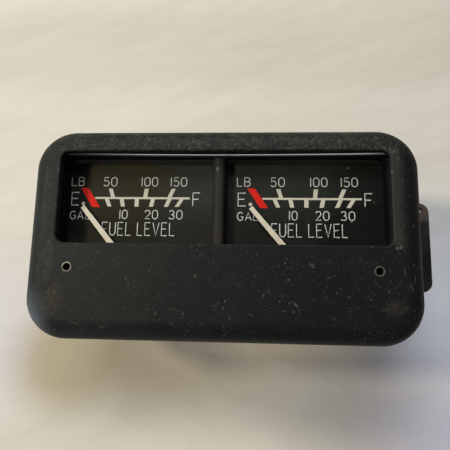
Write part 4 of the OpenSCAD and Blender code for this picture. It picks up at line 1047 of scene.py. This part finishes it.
def makeCaseScrews(size):
    head, top, seat, shank, end = (size[key] for key in ("head", "top", "seat", "shank", "end"))
    shape = lathe([(0, top), (head * 0.35, top + 0.02), (head * 0.62, top + 0.10), (head * 0.83, top + 0.27),
                   (head * 0.95, top + 0.52), (head, top + 0.85), (head, seat - 0.06), (head - 0.06, seat),
                   (shank, seat), (shank, end - 0.4), (shank - 0.4, end), (0, end)], 56)
    half = size["slot"] / 2
    for wall in (-half, half, -half + 0.03, half - 0.03):
        cutPlane(shape, (0, wall, 0), (0, 1, 0))
    floor = top + size["slotDepth"]
    for vert in shape.verts:
        if abs(vert.co.y) < half - 0.02 and vert.co.z < floor:
            vert.co.z = floor
    whole = addCopies(shape, size["spots"], size["turns"])
    screws = keepPiece(whole, "caseScrews", ["screwSteel"], "housing", 30)
    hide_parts("case_screws")


makeCaseScrews(screwSize)

# Rivets with drawn domes outside and turned-over ends inside
rivetSize = {
    "head": 2.0, "shank": 1.2,
    "boardSpots": ((-31.5, -10, 0), (31.5, -10, 0), (-31.5, 10, 0), (31.5, 10, 0)),
    "boardHeights": (12.2, 13.0, 16.2, 17.0),   # dome, seat, inner face, turned-over end
    "earSpots": ((0, -8.55, 28.8), (0, 5.45, 28.8)),
    "earHeights": (53.4, 52.6, 49.9, 49.1),
}


def drawRivet(size, outer, seat, inner, end):
    way = 1 if seat > outer else -1
    head, shank = size["head"], size["shank"]
    dome = [(0.0, 0.12), (0.22, 0.11), (0.30, 0.02), (0.45, 0.0), (0.70, 0.08), (0.90, 0.28), (1.0, 0.56)]
    profile = [(head * share, outer + down * way) for share, down in dome]
    profile += [(head, seat - 0.04 * way), (head - 0.05, seat), (shank, seat), (shank, inner),
                (head * 0.95, inner), (head * 0.92, inner + 0.35 * way), (head * 0.70, end),
                (head * 0.48, end - 0.15 * way), (head * 0.30, inner + 0.1 * way), (0, inner + 0.05 * way)]
    return lathe(profile)


def makeRivets(size):
    board = drawRivet(size, *size["boardHeights"])
    boardRivets = keepPiece(addCopies(board, size["boardSpots"]), "boardRivets", ["rivetAluminium"],
                            "housing")
    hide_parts("board_rivets")
    ear = drawRivet(size, *size["earHeights"])
    bmesh.ops.rotate(ear, verts=ear.verts, cent=(0, 0, 0), matrix=Matrix.Rotation(math.pi / 2, 3, "Y"))
    earRivets = keepPiece(addCopies(ear, size["earSpots"]), "earRivets", ["ear"], "housing")
    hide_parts("bracket_rivets")


makeRivets(rivetSize)
print("terminals and fasteners made")

# Covered wires inside the case
leadSize = {
    "radius": 0.5,
    "routes": (
        ((-23, -10, 18), (-23, -10, 19.42), (-24.25, -4.6, 20.83), (-25.5, 0.79, 23.67), (-25.5, 0.79, 26.5)),
        ((-23, 10, 18), (-23, 10, 21.08), (-17.38, 8.8, 26.2), (-11.76, 7.6, 30.3), (-11.76, 7.6, 42.6)),
        ((23, -10, 18), (23, -10, 19.42), (23.3, -4.6, 20.83), (23.6, 0.79, 23.67), (23.6, 0.79, 26.5)),
        ((23, 10, 18), (23, 10, 21.08), (30.17, 8.8, 26.2), (37.34, 7.6, 30.3), (37.34, 7.6, 42.6)),
    ),
}


def makeLeads(size):
    mesh = tubeMesh(size["routes"], size["radius"], "NURBS", 4)
    shape = bmesh.new()
    shape.from_mesh(mesh)
    bpy.data.meshes.remove(mesh)
    leads = keepPiece(shape, "coveredLeads", ["lead"], "housing")
    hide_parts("leads")


makeLeads(leadSize)
print("leads made")

# Cream cloth floor, two soft lamps and a dim room
floorLook = {
    "size": 3.0,
    "tone": (0.550, 0.517, 0.440),
    "shade": (0.480, 0.450, 0.380),
    # painted shadows, warm and cool, on the cloth in front of the gauge; a zone is its centre, half size and
    # share
    "warmShadow": (0.365, 0.312, 0.205),
    "warmShadowZones": ((-46, -37, 56, 32, 1.0), (-66, -44, 27, 30, 0.7), (-5, -47, 42, 14, 0.5)),
    "coolShadow": (0.375, 0.362, 0.342),
    "coolShadowZone": (50, -55, 56, 28, 1.0),
    # pale tint that the cloth gives off to rays that look at it, uneven over the floor: painted light,
    # brighter at the left, at the front and in the lifted zones, dimmer in a band behind the gauge and in the
    # painted shadows
    "paleLeft": (0.085, 0.075, 0.068),
    "paleRight": (0.045, 0.043, 0.050),
    "paleFront": (0.205, 0.190, 0.165),
    "paleBack": (0.0, 0.0, 0.0),
    "paleLow": (0.045, 0.040, 0.035),
    "paleShade": (0.265, 0.206, 0.115),
    "shadeZones": ((14, -33, 52, 18, 0.7), (-14, -37, 22, 12, 0.5)),
    "paleCool": (0.100, 0.120, 0.190),
    "paleCoolZone": (77, -15, 30, 62, 1.0),
    "paleCorner": (0.000, 0.008, 0.150),
    "cornerZone": (94, -76, 64, 64, 1.0),
    "paleSide": (0.085, 0.085, 0.155),
    "sideZone": (-88, -30, 22, 52, 1.0),
}
lampSet = (
    {"name": "windowLamp", "place": (-0.50, 0.14, 0.69), "size": 0.12, "power": 4.25,
     "tone": (1.0, 0.93, 0.78)},
    {"name": "skyLamp", "place": (-0.06, 0.57, 0.67), "size": 0.50, "power": 5.0,
     "tone": (0.95, 0.98, 1.0)},
)
roomTones = {
    "left": (0.35, 0.37, 0.40), "right": (0.08, 0.085, 0.095), "near": (0.19, 0.205, 0.23),
    "lowWindow": (2.6, 2.8, 3.1), "ceiling": (0.012, 0.012, 0.012),
}


def clothZone(place, zone):
    middleX, middleY, halfX, halfY, share = zone
    return hollow(place, (middleX, middleY, 0), (halfX, halfY, 60)) * share


def makeFloor(look):
    finish, place = newFinish("creamCloth")
    x, y = axes(place)[:2]
    warp = clouds(turned(place, 8, (1.2, 0.35, 1)), 1.0, 3.0)
    weft = clouds(turned(place, 98, (1.2, 0.35, 1)), 1.0, 3.0)
    weave = warp * weft
    fold = clouds(turned(place, 12, (90, 30, 30)), 1.0, 3.0)
    crease = clouds(turned(place, -24, (34, 11, 20)), 1.0, 2.0)
    shade = rise(fold, 0.35, 0.7) * 0.35 + rise(weave, 0.15, 0.4) * 0.15
    tone = blendTones(shade, look["tone"], look["shade"])
    # painted shadows: warm and cool darker zones in front of the gauge
    warmShadow = 0
    for zone in look["warmShadowZones"]:
        warmShadow = warmShadow + clothZone(place, zone)
    coolShadow = clothZone(place, look["coolShadowZone"])
    tone = blendTones(warmShadow, tone, look["warmShadow"])
    tone = blendTones(coolShadow, tone, look["coolShadow"])
    height = weave * 0.12 + fold * 2.4 + crease * 0.7
    # painted light and shadow: the cloth's glow brighter at the left, at the front and in lifted zones,
    # dimmer behind the gauge and in the warm and cool shadows
    pale = blendTones(rise(x, -60.0, 90.0), look["paleLeft"], look["paleRight"])
    front = rise(y, -52.0, -74.0) * rise(x, 60.0, 10.0) * rise(x, -70.0, -25.0)
    pale = blendTones(front, pale, look["paleFront"])
    pale = blendTones(rise(y, 62.0, 78.0) * rise(y, 116.0, 98.0), pale, look["paleBack"])
    shaded = 0
    for zone in look["shadeZones"]:
        shaded = shaded | clothZone(place, zone)
    pale = blendTones(shaded, pale, look["paleShade"])
    pale = blendTones(clothZone(place, look["paleCoolZone"]), pale, look["paleCool"])
    pale = blendTones(warmShadow * 0.8 | coolShadow * 0.8, pale, look["paleLow"])
    pale = blendTones(clothZone(place, look["cornerZone"]), pale, look["paleCorner"])
    pale = blendTones(clothZone(place, look["sideZone"]), pale, look["paleSide"])
    ray = place.add("LightPath")
    seen = ray | ray.sibling("Is Glossy Ray") | ray.sibling("Is Transmission Ray")
    glow = blendTones(seen, (0, 0, 0), pale)
    closeFinish(place, tone, 0.92, bump(place, height),
                {"Specular IOR Level": 0.2, "Emission Color": glow, "Emission Strength": 1.0})
    shape = bmesh.new()
    bmesh.ops.create_grid(shape, x_segments=2, y_segments=2, size=look["size"] / 2)
    mesh = meshFrom(shape, "clothFloor")
    mesh.materials.append(finish)
    floor = bpy.data.objects.new("clothFloor", mesh)
    scene.collection.objects.link(floor)


def makeLamps(lamps):
    for lamp in lamps:
        data = bpy.data.lights.new(lamp["name"], "AREA")
        data.shape = "DISK"
        data.size = lamp["size"]
        data.energy = lamp["power"]
        data.color = lamp["tone"]
        light = bpy.data.objects.new(lamp["name"], data)
        light.location = lamp["place"]
        light.rotation_euler = Vector(lamp["place"]).to_track_quat("Z", "Y").to_euler()
        scene.collection.objects.link(light)


def makeRoom(tones):
    room = bpy.data.worlds.new("dimRoom")
    scene.world = room
    room.use_nodes = True
    room.node_tree.nodes.clear()
    start = Wire(room.node_tree)
    way = start.add("TexCoord", out="Generated")
    across, along, up = axes(way)
    side = across * -0.80 + along * 0.60
    walls = blendTones(rise(side, -0.8, 0.75), tones["right"], tones["left"])
    walls = blendTones(rise(along - across * 0.45, -0.25, -0.75), walls, tones["near"])
    # low window at the left, which the rolled edge mirrors
    low = rise(up, 0.45, 0.20) * rise(across * -0.86 - along * 0.50, 0.62, 0.92)
    walls = blendTones(low, walls, tones["lowWindow"])
    # the ceiling stays dark, because the pane mirrors it
    tone = blendTones(rise(up * 0.986 + along * 0.16 - across * 0.04, 0.80, 0.90), walls, tones["ceiling"])
    sky = start.add("Background", None, {"Color": tone})
    start.add("OutputWorld", None, {"Surface": sky})


makeFloor(floorLook)
makeLamps(lampSet)
makeRoom(roomTones)
print("floor and light set")
